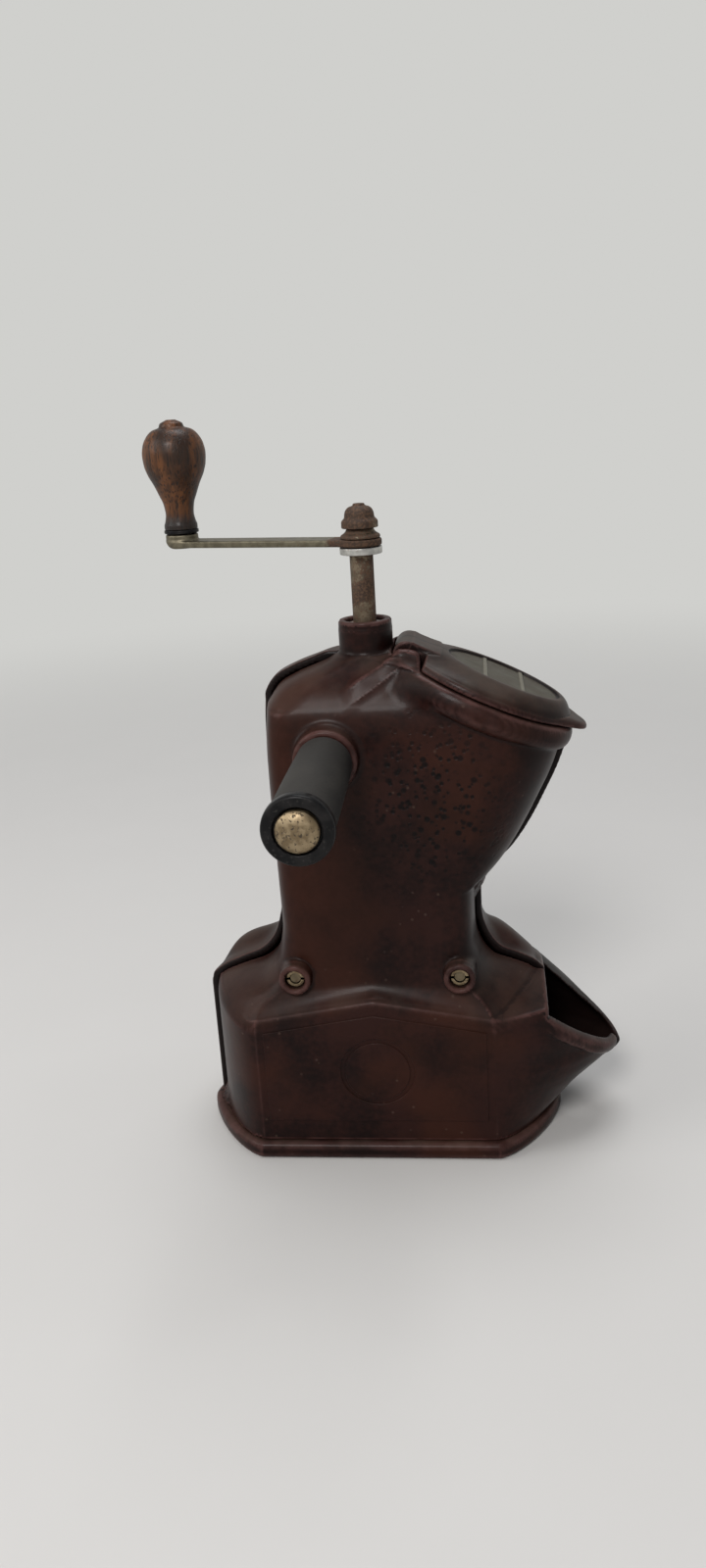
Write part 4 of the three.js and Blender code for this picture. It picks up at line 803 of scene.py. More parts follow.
def mouthBead(x, y, z):
    # the cup under the lid, and the round bead about it
    along, up = mouthPlace(x, z)
    oval = ovalAway(along, y, mouth["halfLength"], mouth["halfWidth"])
    cup = trim(oval, np.abs(up + mouth["cupDepth"] / 2) - mouth["cupDepth"] / 2, 1)
    above = up + mouth["beadMiddle"]
    tall = np.where(above > 0, mouth["beadMiddle"] + 0.5, mouth["beadHeight"] - mouth["beadMiddle"])
    ring = (np.hypot(np.maximum(oval, 0) / mouth["beadProud"], above / tall) - 1) * mouth["beadProud"]
    return blendIn(cup, np.where(oval < -3, oval + 1, ring), 0.8)


def beakRim(x, z):
    # distance above the slanted rim of the beak
    slope = math.radians(shell["beakSlope"])
    across = (shell["beakTipReach"] - x) * math.sin(slope)
    return (z - shell["beakTipHeight"]) * math.cos(slope) - across


def earAway(x, y, z):
    # a round head at the hinge, and a fin that runs down into the roof
    h = hinge
    turn = math.radians(h["crestTurn"])
    crestX, crestZ = h["x"] + h["reach"] * math.cos(turn), h["z"] + h["rise"] * math.sin(turn)
    tailX, tailZ = fin["tail"]
    length = math.hypot(crestX - tailX, crestZ - tailZ)
    share = np.clip((crestX - x) / (crestX - tailX), 0, fin["past"])
    drop = (crestZ - tailZ) * share ** fin["bend"]
    overTail = (z - crestZ + drop) * (crestX - tailX) / length
    tail = np.maximum(overTail, x - h["x"])
    head = ovalAway(x - h["x"], z - h["z"], h["reach"], h["rise"])
    head = np.where(z > h["z"], head, np.abs(x - h["x"]) - h["reach"])
    near = h["near"] + fin["spread"] * share
    below = np.maximum(crestZ - drop - z, 0)
    slab = np.maximum(near - np.abs(y), np.abs(y) - near - h["thick"] - fin["lean"] * below)
    late = np.maximum((share - fin["fadeFrom"]) / (1 - fin["fadeFrom"]), 0)
    fading = fin["fade"] * late ** 2 + fin["deepFade"] * np.maximum(below - fin["deepFrom"], 0)
    whole = trim(blendIn(head, tail, 1), slab, fin["soft"]) + fading
    return np.maximum(np.maximum(whole, h["foot"] - z), tailX - fin["end"] - x)


def domeAway(x, y, z):
    # the rear half's round shoulders, and the slope that the right one ends in
    swell = np.full(len(x), np.inf)
    for dome in domes:
        reach = dome["reach"]
        parts = [(part - middle) / most for part, middle, most in zip((x, y, z), dome["centre"], reach)]
        r = np.maximum(np.sqrt(sum(part ** 2 for part in parts)), 1e-6)
        steep = np.sqrt(sum((part / most) ** 2 for part, most in zip(parts, reach)))
        swell = np.minimum(swell, (r - 1) * r / np.maximum(steep, 1e-6))
    swell = trim(swell, outside[rear].flatAway(x, y, np.full(len(x), hood["base"])), softness["dome"])
    top = hood["top"] - hood["slope"] * (x - hood["x"]) - hood["lean"] * (y - hood["leanFrom"])
    over = (top - z) / math.sqrt(1 + hood["slope"] ** 2 + hood["lean"] ** 2)
    sides = np.maximum(hood["low"] - x, z - hood["high"])
    return swell, np.maximum(np.maximum(over, -beakRim(x, z)), sides)


def shellAway(p, side):
    s, g, q = shell, gripPlace, screwPlace
    x, y, z = p.T
    skin = away = outside[side].away(p)
    overRim = beakRim(x, z)
    if side == front:
        # a round bead under the beak's rim
        under = np.clip((-overRim - 0.5 * s["rimHeight"]) / (0.5 * s["rimHeight"]), -1, 1)
        along = np.clip((x - s["rimFrom"]) / s["rimFade"], 0, 1)
        away = away - s["rimProud"] * np.sqrt(1 - under ** 2) * along
    else:
        swell, slope = domeAway(x, y, z)
        away = cutOut(blendIn(away, swell, softness["swell"]), slope, softness["hood"])
    away = trim(away, x - s["beakTipReach"] - s["tipPast"], softness["tip"])
    away = trim(away, z - s["neckFoot"], softness["top"])
    away = trim(away, s["baseBottom"] - z, softness["foot"])
    away = blendIn(away, mouthBead(x, y, z), np.interp(x, *mouth["blend"]))
    boss, face = (g["boss"], -g["bossFace"]) if side == front else (g["rearBoss"], g["rearFace"])
    low, high = (-face, 0) if side == front else (0, face)
    away = blendIn(away, rodAlong(1, p, (g["x"], g["z"]), boss, low, high, 1.6), softness["grip"])
    along, up = mouthPlace(x, z)
    away = cutOut(away, np.maximum(-up, s["neckRadius"] + 0.3 - x), softness["mouth"])
    away = blendIn(away, earAway(x, y, z), softness["ear"])
    away = cutOut(away, np.maximum(0.15 - up, hinge["x"] + hinge["reach"] + 0.3 - x), softness["lidSeat"])
    low, high = (-q["face"], 0) if side == front else (0, q["face"])
    for end in (-1, 1):
        boss = rodAlong(1, p, (end * q["x"], q["z"]), q["boss"], low, high, 0.9)
        away = blendIn(away, boss, softness["screw"])
    collar = rodAlong(2, p, (0, 0), s["neckRadius"], s["neckRoot"], s["neckTop"], 0.9)
    away = blendIn(away, collar, softness["collar"])

    # hollow it, open the beak and make room for the lid's hump
    hollow = trim(outside[side].inset(p, s["wall"]), z - s["cavityTop"], 0.8)
    if side == rear:
        hollow = cutOut(blendIn(hollow, swell + s["wall"], 2), slope - s["wall"], 2)
    throat = ovalAway(along, y, mouth["halfLength"] - s["wall"], mouth["halfWidth"] - s["wall"])
    throat = trim(throat, np.maximum(-mouth["depth"] - up, up - 2), 0.6)
    hollow = blendIn(hollow, throat, 0.8)
    away = cutOut(away, hollow, softness["hollow"])
    opening = np.maximum(np.maximum(-overRim, s["hoodReach"] - x), z - s["waistFoot"])
    away = cutOut(away, opening, softness["opening"])
    room = rodAlong(1, p, (hinge["x"], hinge["z"]), hinge["clear"], -hinge["near"], hinge["near"], 0.3)
    away = cutOut(away, room, softness["hump"])

    for inside in innerParts(p, side, skin):
        away = blendIn(away, inside, softness["inner"])
    for bore in shellBores(p, side):
        away = cutOut(away, bore, softness["bore"])
    return trim(away, side * -y + s["seamGap"], softness["seam"])


def postSpots(side):
    return [(end * postPlace["x"], postPlace["front" if side == front else "rear"]) for end in (-1, 1)]


def innerParts(p, side, skin):
    # the grip's pillar, the screw tubes, the posts for the tray, the collar's root and two ledges
    x, y, z = p.T
    g, q, post = gripPlace, screwPlace, postPlace
    reach = shell["roofHalfDepth"] - 1.6
    yield rodAlong(1, p, (g["x"], g["z"]), g["pillar"], -reach, reach, 0.3)
    for end, spot in zip((-1, 1), postSpots(side)):
        yield rodAlong(1, p, (end * q["x"], q["z"]), q["boss"], -q["face"] + 4, q["face"] - 4, 0.3)
        yield rodAlong(2, p, spot, post["radius"], post["low"], post["high"], 0.5)
    yield rodAlong(2, p, (0, 0), shell["neckRadius"], shell["neckRoot"], shell["neckTop"] - 3, 0.4)
    band = np.maximum(skin + 0.5 * shell["wall"], -skin - shell["wall"] - plate["ledgeWidth"])
    tube = plate["tube"] - np.hypot(x, y)
    for low in (plate["bottom"] - plate["gap"] - plate["ledge"], plate["top"] + plate["gap"]):
        yield np.maximum(np.maximum(band, tube), np.maximum(low - z, z - low - plate["ledge"]))


def shellBores(p, side):
    # bush, hinge, grip bolt, screws with their seats, and the posts' holes
    g, q, post, hole, length = gripPlace, screwPlace, postPlace, bushHole, hinge["boreHalfLength"]
    yield rodAlong(2, p, (0, 0), hole["radius"], shell["neckRoot"] - 2, shell["neckTop"] + 2, 0.2)
    yield rodAlong(2, p, (0, 0), hole["grooveRadius"], hole["grooveLow"], hole["grooveHigh"], 0.2)
    yield rodAlong(1, p, (hinge["x"], hinge["z"]), hinge["bore"], -length, length, 0.2)
    yield rodAlong(1, p, (g["x"], g["z"]), g["bore"], g["bossFace"] - 2, g["rearFace"] + 2, 0.2)
    for end, spot in zip((-1, 1), postSpots(side)):
        place = (end * q["x"], q["z"])
        yield rodAlong(1, p, place, q["bore"], -q["face"], q["face"], 0.2)
        yield rodAlong(1, p, place, q["sleeve"], -q["face"] - 2, q["sleeveEnd"], 0.2)
        yield rodAlong(1, p, place, q["head"], q["headSeat"], q["face"] + 2, 0.2)
        yield rodAlong(2, p, spot, post["bore"], 0, post["boreTop"], 0.2)


def withinMark(p, side):
    # 1 on the inside walls, which are coloured darker
    share = np.interp(outside[side].away(p), [-2.2, -1.2], [1, 0])
    return share * (p[:, 2] < shell["neckFoot"] - 1)


def halfShell(name, node, side, box):
    skinPiece(name, lambda p: shellAway(p, side), box, shell["cell"], shellFinish, "mill_body", [node],
              marks={"within": lambda p: withinMark(p, side)})


halfShell("front_half_shell", "front_shell", front, shell["frontBox"])
halfShell("rear_half_shell", "rear_shell", rear, shell["rearBox"])


# Foot tray

tray = dict(height=7, halfLength=74.4, halfDepth=39.5, corner=48, power=1.4, round=2.8, floor=3, lipTop=10,
            gap=0.3, lipWall=2.4, bossLow=1.5, sink=3.5, sinkTop=2.6, cell=0.95,
            box=((-79, -42, -2), (75, 42, 12)))


def trayAway(p):
    # a rounded rim under a lip that stands inside the shells, with the posts' bosses
    x, y, z = p.T
    middle = shell["baseCentre"]
    reach = np.where(x > 0, tray["halfLength"] + middle, tray["halfLength"] - middle)
    corner = np.where(x > 0, tray["corner"] + middle, tray["corner"] - middle)
    rim = outlineAway(x, y, reach, tray["halfDepth"], corner, tray["power"])
    half = tray["height"] / 2
    away = trim(rim, np.abs(z - half) - half, tray["round"])
    lip = shellFoot(x, y, shell["wall"] + tray["gap"])
    upstand = np.maximum(lip, np.maximum(tray["floor"] - z, z - tray["lipTop"]))
    hollow = np.maximum(shellFoot(x, y, shell["wall"] + tray["gap"] + tray["lipWall"]), tray["floor"] - z)
    away = cutOut(blendIn(away, upstand, 0.6), hollow, 0.6)
    for spot in (*postSpots(front), *postSpots(rear)):
        boss = rodAlong(2, p, spot, postPlace["radius"], tray["bossLow"], tray["lipTop"], 0.4)
        away = blendIn(away, np.maximum(boss, lip), 0.5)
        away = cutOut(away, rodAlong(2, p, spot, postPlace["bore"], -2, tray["lipTop"] + 2, 0.2), 0.4)
        away = cutOut(away, rodAlong(2, p, spot, tray["sink"], -2, tray["sinkTop"], 0.2), 0.5)
    return away


def shellFoot(x, y, wall):
    # the shells' lowest outline, a wall further in
    away = {}
    for side in (front, rear):
        rows = insetLevels(levels, wall - grown[side])
        away[side] = rowAway(x, y, {key: float(values[0]) for key, values in rows.items()})
    return np.where(y > 0, away[rear], away[front])


skinPiece("foot_tray_rim", trayAway, tray["box"], tray["cell"], footFinish, "mill_body", ["foot_tray"])


# Lid, in its own frame: the hinge axis is its y axis, and it lies along +x

lid = dict(
    under=-1.92, centre=32.151, halfLength=34.6, halfWidth=28.7, edge=3.3, crown=7.5, edgeRound=2.6,
    tabReach=7.6, tabHalfWidth=11, tabThickness=2.5, tabSoft=8, hump=5.2, humpHalfLength=11.2, bridge=11,
    wall=4, hollow=2.8, plaqueHalfLength=24, plaqueHalfWidth=18.5, plaqueOffset=5, rim=1.4, depth=0.8,
    rib=1.6, ribSpacing=15, ribTop=7.2, notch=11.35, earEdge=6.85, flat=0.1, bulge=1.7,
    topSlope=0.85, hollowSlope=0.26, humpSoft=1.6, cell=0.55, box=((-8, -31, -5), (77, 31, 9)),
)


def lidAway(p):
    # an oval that rises to its plaque, with a thumb tab, a hollow, cross ribs and the hinge's hump
    c = lid
    x, y, z = p.T
    x0, up = x - c["centre"], z - c["under"]
    outer = ovalAway(x0, y, c["halfLength"], c["halfWidth"])
    plaque = ovalAway(x0 - c["plaqueOffset"], y, c["plaqueHalfLength"], c["plaqueHalfWidth"])
    toPlaque = np.where(plaque < 0, 1, np.clip(-outer / np.maximum(plaque - outer, 0.01), 0, 1))
    rise = 1 - (1 - np.clip((toPlaque - c["flat"]) / (1 - c["flat"]), 0, 1)) ** c["bulge"]
    thinner = (c["edge"] - c["tabThickness"]) * np.clip(outer / 4, 0, 1)
    over = (up - mix(c["edge"], c["crown"], rise) + thinner) * c["topSlope"]
    tab = ovalAway(x0 - c["halfLength"] + c["tabReach"], y, 2 * c["tabReach"], c["tabHalfWidth"])
    away = trim(blendIn(outer, tab, c["tabSoft"]), over, c["edgeRound"])
    away = trim(away, -up, 0.9)
    s = np.clip(up / c["hollow"], 0, 1)
    under = c["hollowSlope"] * ovalAway(
        x0 - c["plaqueOffset"] * s, y,
        mix(c["halfLength"], c["plaqueHalfLength"], s) - c["wall"],
        mix(c["halfWidth"], c["plaqueHalfWidth"], s) - c["wall"],
    )
    hollow = trim(under, up - c["hollow"], 1)
    away = cutOut(away, hollow, 0.6)
    recess = ovalAway(x0 - c["plaqueOffset"], y, c["plaqueHalfLength"] - c["rim"],
                      c["plaqueHalfWidth"] - c["rim"])
    recess = trim(recess, c["crown"] - c["depth"] - up, 0.3)
    for side in (-1, 1):
        rib = np.abs(x0 - c["plaqueOffset"] - side * c["ribSpacing"] / 2) - c["rib"] / 2
        recess = cutOut(recess, np.maximum(rib, up - c["ribTop"]), 0.3)
    away = cutOut(away, recess, 0.5)
    notch = np.maximum(c["notch"] - np.abs(y), x - c["earEdge"])
    away = cutOut(cutOut(away, notch, 0.6), x, 0.6)
    hump = rodAlong(1, p, (0, 0), c["hump"], -c["humpHalfLength"], c["humpHalfLength"], 0.8)
    box = np.maximum(np.abs(y) - c["humpHalfLength"], np.maximum(-x, x - c["bridge"]))
    bridge = trim(box, np.maximum(c["edge"] / 2 - up, z - c["hump"]), 0.9)
    hump = cutOut(blendIn(hump, bridge, 0.8), hollow, 0.5)
    away = blendIn(away, hump, c["humpSoft"])
    return cutOut(away, rodAlong(1, p, (0, 0), hinge["bore"], -20, 20, 0.2), 0.4)


lidPlace = Matrix.Translation((hinge["x"], 0, hinge["z"])) @ Matrix.Rotation(mouth["tilt"], 4, "Y")


def plaqueMark(p):
    # 1 in the sunk plaque, more on its ribs, 0 in the dark line round it, 0.5 elsewhere on the lid
    x, y, z = p.T
    away = ovalAway(x - lid["centre"] - lid["plaqueOffset"], y, lid["plaqueHalfLength"] - lid["rim"],
                    lid["plaqueHalfWidth"] - lid["rim"])
    over = z > lid["under"] + 5
    shares = np.where(over, np.interp(away, [-1.3, -0.7, 0.2, 0.8], [1, 0, 0, 0.5]), 0.5)
    alongRib = np.abs(np.abs(x - lid["centre"] - lid["plaqueOffset"]) - lid["ribSpacing"] / 2)
    return shares + np.where(over & (away < -0.7), np.interp(alongRib, [0.6, 1], [0.6, 0]), 0)


skinPiece("hopper_lid", lidAway, lid["box"], lid["cell"], lidFinish, "lid", ["lid"], lidPlace,
          {"inlay": plaqueMark})


# Crank arm, flat and a little bent, along -x before it is turned to its angle

arm = dict(turn=-15, bottom=239.2, thick=2.6, halfWidth=5.8, hub=7.9, reach=74.2, tip=6.3, rise=0.6,
           tipTop=244.9, tipCurl=3.4, curlPower=2.4, stud=3.7, pin=2.5, pinHead=3.9, pinHeadTop=241.5,
           cutLow=230, cutHigh=250, cell=0.42, box=((-82, -10, 237), (10, 10, 247)))
crankTurn = Matrix.Rotation(math.radians(arm["turn"]), 4, "Z")


def armAway(p):
    a = arm
    x, y, z = p.T
    share = np.clip((a["hub"] - x) / (a["reach"] - a["tip"] + a["hub"]), 0, 1)
    curl = np.clip((-a["reach"] - x) / a["tip"], 0, 1)
    bottom = a["bottom"] + a["rise"] * share + a["tipCurl"] * curl ** a["curlPower"]
    hub = np.hypot(x, y) - a["hub"]
    tip = np.hypot(x + a["reach"], y) - a["tip"]
    bar = np.maximum(np.abs(y) - a["halfWidth"], np.maximum(x, -a["reach"] - x))
    plan = blendIn(blendIn(hub, bar, 3), tip, 2)
    strip = trim(plan, np.maximum(bottom - z, z - a["bottom"] - a["rise"] * share - a["thick"]), 0.8)
    knuckle = trim(tip, np.maximum(bottom - z, z - a["tipTop"]), 0.9)
    away = blendIn(strip, knuckle, 0.9)
    holes = [(0, a["stud"], a["cutHigh"]), (-a["reach"], a["pin"], a["cutHigh"]),
             (-a["reach"], a["pinHead"], a["pinHeadTop"])]
    for x0, radius, high in holes:
        away = cutOut(away, rodAlong(2, p, (x0, 0), radius, a["cutLow"], high, 0.1), 0.3)
    return away


skinPiece("crank_arm_bar", armAway, arm["box"], arm["cell"], armSteel, "crank", ["crank_arm"], crankTurn)


# Turned pieces: the side grip, its bolt and the hinge pin lie along y, the rest stand along z

lyingDown = Matrix.Rotation(math.radians(-90), 4, "X")
alongGrip = Matrix.Translation((gripPlace["x"], 0, gripPlace["z"])) @ lyingDown
alongHinge = Matrix.Translation((hinge["x"], 0, hinge["z"])) @ lyingDown
upright = Matrix.Identity(4)
atKnob = crankTurn @ Matrix.Translation((-arm["reach"], 0, 0))
boltDome = dict(radius=7.1, foot=-106.2, rise=2.6, power=1.2, steps=14)


def boltProfile():
    dome = []
    for t in np.linspace(0, math.pi / 2 - 0.02, boltDome["steps"]):
        height = boltDome["foot"] - boltDome["rise"] * math.cos(t) ** boltDome["power"]
        dome.append((boltDome["radius"] * math.sin(t), height))
    return dome + [(boltDome["radius"], -106), (boltDome["radius"], -104.6), (6.9, -104.4), (3, -104.4),
                   (3, 40.2), (2.6, 40.7), (0, 40.7)]


turnedPiece("side_grip", [
    (3.6, -101.3, 0), (11, -101.3, 1.2), (11, -81.5, 8), (10.7, -55.1, 12), (10.4, -36.2, 0.9),
    (3.6, -35.3, 0), (3.6, -101.3, 0),
], alongGrip, blackGrip, "mill_body", ["handle_grip"], 96)
turnedPiece("grip_ring", [
    (3.6, -101.6, 0), (11.8, -101.6, 1), (11.8, -106.2, 1.5), (7.9, -106.2, 0.5), (7.9, -104.1, 0.2),
    (3.6, -104.1, 0), (3.6, -101.6, 0),
], alongGrip, glossBlack, "mill_body", ["grip_end_ring"], 96)
turnedPiece("grip_bolt_dome", boltProfile(), alongGrip, pittedBrass, "mill_body", ["grip_bolt"], smooth=True)
turnedPiece("rear_washer", [
    (3.3, 34.8, 0), (7.5, 34.8, 0.25), (7.5, 36, 0.25), (3.3, 36, 0), (3.3, 34.8, 0),
], alongGrip, plainSteel, "mill_body", ["grip_bolt_washer"])
turnedPiece("rear_nut", [
    (3.3, 36.3, 0), (5.7, 36.3, 0), (6.3, 36.9, 0), (6.3, 40.7, 0), (5.7, 41.3, 0), (3.3, 41.3, 0),
    (3.3, 36.3, 0),
], alongGrip, plainSteel, "mill_body", ["grip_bolt_nut"], 72, flats=5.37)
turnedPiece("hinge_pin", [
    (0, -hinge["pinHalfLength"], 0), (hinge["pin"], -hinge["pinHalfLength"], 0.3),
    (hinge["pin"], hinge["pinHalfLength"], 0.3), (0, hinge["pinHalfLength"], 0),
], alongHinge, plainSteel, "mill_body", ["lid_hinge_pin"], 32)
turnedPiece("shaft_bush", [
    (4.75, 189, 0), (7.2, 189, 0.3), (7.2, 196, 0), (8.5, 196, 0.3), (8.5, 199, 0.3), (7.2, 199, 0),
    (7.2, 210.4, 0.5), (4.75, 210.4, 0.4), (4.75, 189, 0),
], upright, plainSteel, "mill_body", ["neck_bush"])
turnedPiece("shaft_rod", [
    (0, 98.1, 0), (2.2, 97.3, 0), (4.4, 97.3, 0.4), (4.4, 236, 0.3), (3.4, 236, 0), (3.4, 249.8, 0.4),
    (0, 249.8, 0),
], crankTurn, rustySteel, "crank", ["crank_shaft"], 64)
turnedPiece("arm_washer", [
    (3.7, 236.3, 0), (7.9, 236.3, 0.4), (7.9, 238.9, 0.4), (3.7, 238.9, 0), (3.7, 236.3, 0),
], crankTurn, paleSteel, "crank", ["crank_washer"])
turnedPiece("arm_boss", [
    (3.7, 242.1, 0), (7.4, 242.1, 0.35), (7.4, 243.1, 0.5), (5.6, 244.2, 0.8), (5, 245.5, 0.3),
    (3.7, 245.5, 0), (3.7, 242.1, 0),
], crankTurn, rustySteel, "crank", ["crank_boss"])
turnedPiece("domed_nut", [
    (3.7, 245.8, 0), (6.8, 245.8, 0.35), (6.8, 248.3, 0.7), (5.6, 249.4, 0.6), (5.4, 251.4, 0.8),
    (4.5, 253.1, 1.2), (2.3, 253.8, 0.3), (2.1, 254.5, 0.3), (0, 254.7, 0), (0, 250.1, 0), (3.7, 250.1, 0),
    (3.7, 245.8, 0),
], crankTurn, rustySteel, "crank", ["crank_nut"])
turnedPiece("knob_rivet", [
    (0, 239.8, 0), (3.6, 239.8, 0.4), (3.6, 241.2, 0), (2.2, 241.2, 0), (2.2, 284.1, 0.3), (0, 284.1, 0),
], atKnob, plainSteel, "crank", ["knob_pin"], 40)
turnedPiece("knob_ring", [
    (2.6, 245.2, 0), (6.7, 245.2, 0.45), (6.7, 246.6, 0.45), (2.6, 246.6, 0), (2.6, 245.2, 0),
], atKnob, glossBlack, "knob", ["knob_ferrule"])

knob = dict(bottom=246.9, height=40.6, radius=12.1, bore=2.6, boreTop=284.4)
# height up the knob, and radius
knobShares = [
    (0, 0.53), (0.03, 0.53), (0.075, 0.485), (0.14, 0.45), (0.23, 0.487), (0.32, 0.6), (0.415, 0.73),
    (0.505, 0.88), (0.6, 0.975), (0.69, 1), (0.78, 0.95), (0.87, 0.78), (0.91, 0.62), (0.935, 0.4),
    (0.965, 0.36), (1, 0.14),
]


def knobProfile():
    fine = np.linspace(0, len(knobShares) - 1, 6 * len(knobShares))
    up, out = (steadyCurve([row[i] for row in knobShares], fine) for i in (0, 1))
    outer = list(zip(out * knob["radius"], knob["bottom"] + up * knob["height"]))
    return [(knob["bore"], knob["bottom"]), *outer, (0, knob["bottom"] + knob["height"]),
            (0, knob["boreTop"]), (knob["bore"], knob["boreTop"]), (knob["bore"], knob["bottom"])]


turnedPiece("turned_knob", knobProfile(), atKnob, wood, "knob", ["crank_knob"], 96, smooth=True)

print("turned pieces made")


# Panel under the ridge, with a bare disc in a sunk ring

panel = dict(halfWidth=43.8, bottom=16.5, trim=4.8, proud=0.5, sunk=0.4, bevel=0.3, discX=-1.3, discZ=38.8,
             ringRadius=14.6, ring=1.8, sharpFrom=50)


def circle(x, z, radius, steps=72):
    turns = [2 * math.pi * i / steps for i in range(steps)]
    return [(x + radius * math.cos(turn), z + radius * math.sin(turn)) for turn in turns]


def panelOutline():
    # it follows the gable of the ridge
    middle, top = shell["baseCentre"], shell["ridgeHeight"] - panel["trim"]
    left, right = middle - panel["halfWidth"], middle + panel["halfWidth"]
    cornerTop = top + shell["ridgeRise"] * (1 - panel["halfWidth"] / shell["ridgeCorner"])
    return [(left, panel["bottom"]), (right, panel["bottom"]), (right, cornerTop),
            (middle, top + shell["ridgeRise"]), (left, cornerTop)]


def flatPiece(name, outlines):
    # outlines of x and z, filled, standing out a little from the base's front
    proud, sunk, bevel = (panel[key] for key in ("proud", "sunk", "bevel"))
    curve = bpy.data.curves.new(name, "CURVE")
    curve.dimensions, curve.fill_mode = "2D", "BOTH"
    curve.extrude = (proud + sunk) / 2 * mm - bevel * mm
    curve.bevel_depth, curve.offset, curve.bevel_resolution = bevel * mm, -bevel * mm, 3
    for outline in outlines:
        spline = curve.splines.new("POLY")
        spline.points.add(len(outline) - 1)
        for point, (x, z) in zip(spline.points, outline):
            point.co = (x * mm, z * mm, 0, 1)
        spline.use_cyclic_u = True
    flat = addObject(name, curve)
    mesh = bpy.data.meshes.new_from_object(flat.evaluated_get(bpy.context.evaluated_depsgraph_get()))
    bpy.data.objects.remove(flat)
    middle = (-shell["baseHalfDepth"] - (proud - sunk) / 2) * mm
    mesh.transform(Matrix.Translation((0, middle, 0)) @ Matrix.Rotation(math.radians(90), 4, "X"))
    mergePoints(mesh, turnOutwards=True)
    mesh.shade_smooth()
    mesh.set_sharp_from_angle(angle=math.radians(panel["sharpFrom"]))
    addMesh(mesh, name, panelFinish, "mill_body")


flatPiece("front_panel", [panelOutline(), circle(panel["discX"], panel["discZ"], panel["ringRadius"])])
flatPiece("front_disc", [circle(panel["discX"], panel["discZ"], panel["ringRadius"] - panel["ring"])])


# Slotted screws and sleeve nuts, one on each point of a mesh, with the slotted face at the point

screwSizes = {
    "footScrews": dict(headRadius=3.2, headHeight=1.8, chamfer=0.3, coreRadius=1.6, coreLength=22.7,
                       slotWidth=1, slotDepth=0.72),
    "shellScrews": dict(headRadius=4, headHeight=2.6, chamfer=0.5, coreRadius=2, coreLength=61.3,
                        slotWidth=1, slotDepth=1.2),
    "yokeScrews": dict(headRadius=2.7, headHeight=1.6, chamfer=0.3, coreRadius=1.5, coreLength=17.7,
                       slotWidth=0.8, slotDepth=0.7),
    "sleeveNuts": dict(headRadius=3.7, headHeight=19, chamfer=0.35, coreRadius=2.3, coreLength=2,
                       slotWidth=1, slotDepth=1.2),
}
# where the slotted faces lie: y of the sleeve nuts and shell screws, z of the foot and yoke screws
screwSeats = dict(sleeveNuts=-31.6, shellScrews=32.9, footScrews=0.5, yokeScrews=116.9, yokeReach=25.6,
                  sharpFrom=35)


def screwTree(name, bored, sides=40):
    # the core is a shank below the head, or a bore right through it
    work = NodeWork(bpy.data.node_groups.new(name, "GeometryNodeTree"))
    sockets = work.tree.interface
    sockets.new_socket("Geometry", in_out="OUTPUT", socket_type="NodeSocketGeometry")
    sockets.new_socket("Geometry", in_out="INPUT", socket_type="NodeSocketGeometry")
    for size in screwSizes["footScrews"]:
        sockets.new_socket(size, in_out="INPUT", socket_type="NodeSocketFloat")
    sockets.new_socket("finish", in_out="INPUT", socket_type="NodeSocketMaterial")
    given = work.tree.nodes.new("NodeGroupInput")
    size = {socket.name: Wire(work, socket) for socket in given.outputs if socket.name}

    def lifted(shape, height):
        offset = work.node("ShaderNodeCombineXYZ", {}, {"Z": height})
        return work.node("GeometryNodeTransform", {}, {"Geometry": shape, "Translation": offset})

    def rod(radius, low, high):
        shape = work.node("GeometryNodeMeshCylinder", {},
                          {"Vertices": sides, "Radius": radius, "Depth": high - low})
        return lifted(shape, 0.5 * (low + high))

    head = rod(size["headRadius"], -1 * size["headHeight"], -1 * size["chamfer"])
    cone = work.node("GeometryNodeMeshCone", {}, {
        "Vertices": sides, "Radius Top": size["headRadius"] - size["chamfer"],
        "Radius Bottom": size["headRadius"], "Depth": size["chamfer"]})
    solid = [head, lifted(cone, -1 * size["chamfer"])]
    long = size["headHeight"] + size["coreLength"]
    if bored:
        core = rod(size["coreRadius"], -1 * long, size["coreLength"])
    else:
        core = rod(size["coreRadius"], -1 * long, -0.5 * size["headHeight"])
        solid.append(core)
    body = work.node("GeometryNodeMeshBoolean", {"operation": "UNION"}, {"Mesh 2": solid})
    box = work.node("ShaderNodeCombineXYZ", {}, {
        "X": 3 * size["headRadius"], "Y": size["slotWidth"], "Z": 2 * size["slotDepth"]})
    slot = work.node("GeometryNodeMeshCube", {}, {"Size": box})
    body = work.node("GeometryNodeMeshBoolean", {"operation": "DIFFERENCE"},
                     {"Mesh 1": body, "Mesh 2": [slot, core] if bored else [slot]})
    placed = work.node("GeometryNodeInstanceOnPoints", {}, {"Points": size["Geometry"], "Instance": body})
    real = work.node("GeometryNodeRealizeInstances", {}, {"Geometry": placed})
    coloured = work.node("GeometryNodeSetMaterial", {}, {"Geometry": real, "Material": size["finish"]})
    result = work.tree.nodes.new("NodeGroupOutput")
    work.feed(result.inputs["Geometry"], coloured)
    return work.tree


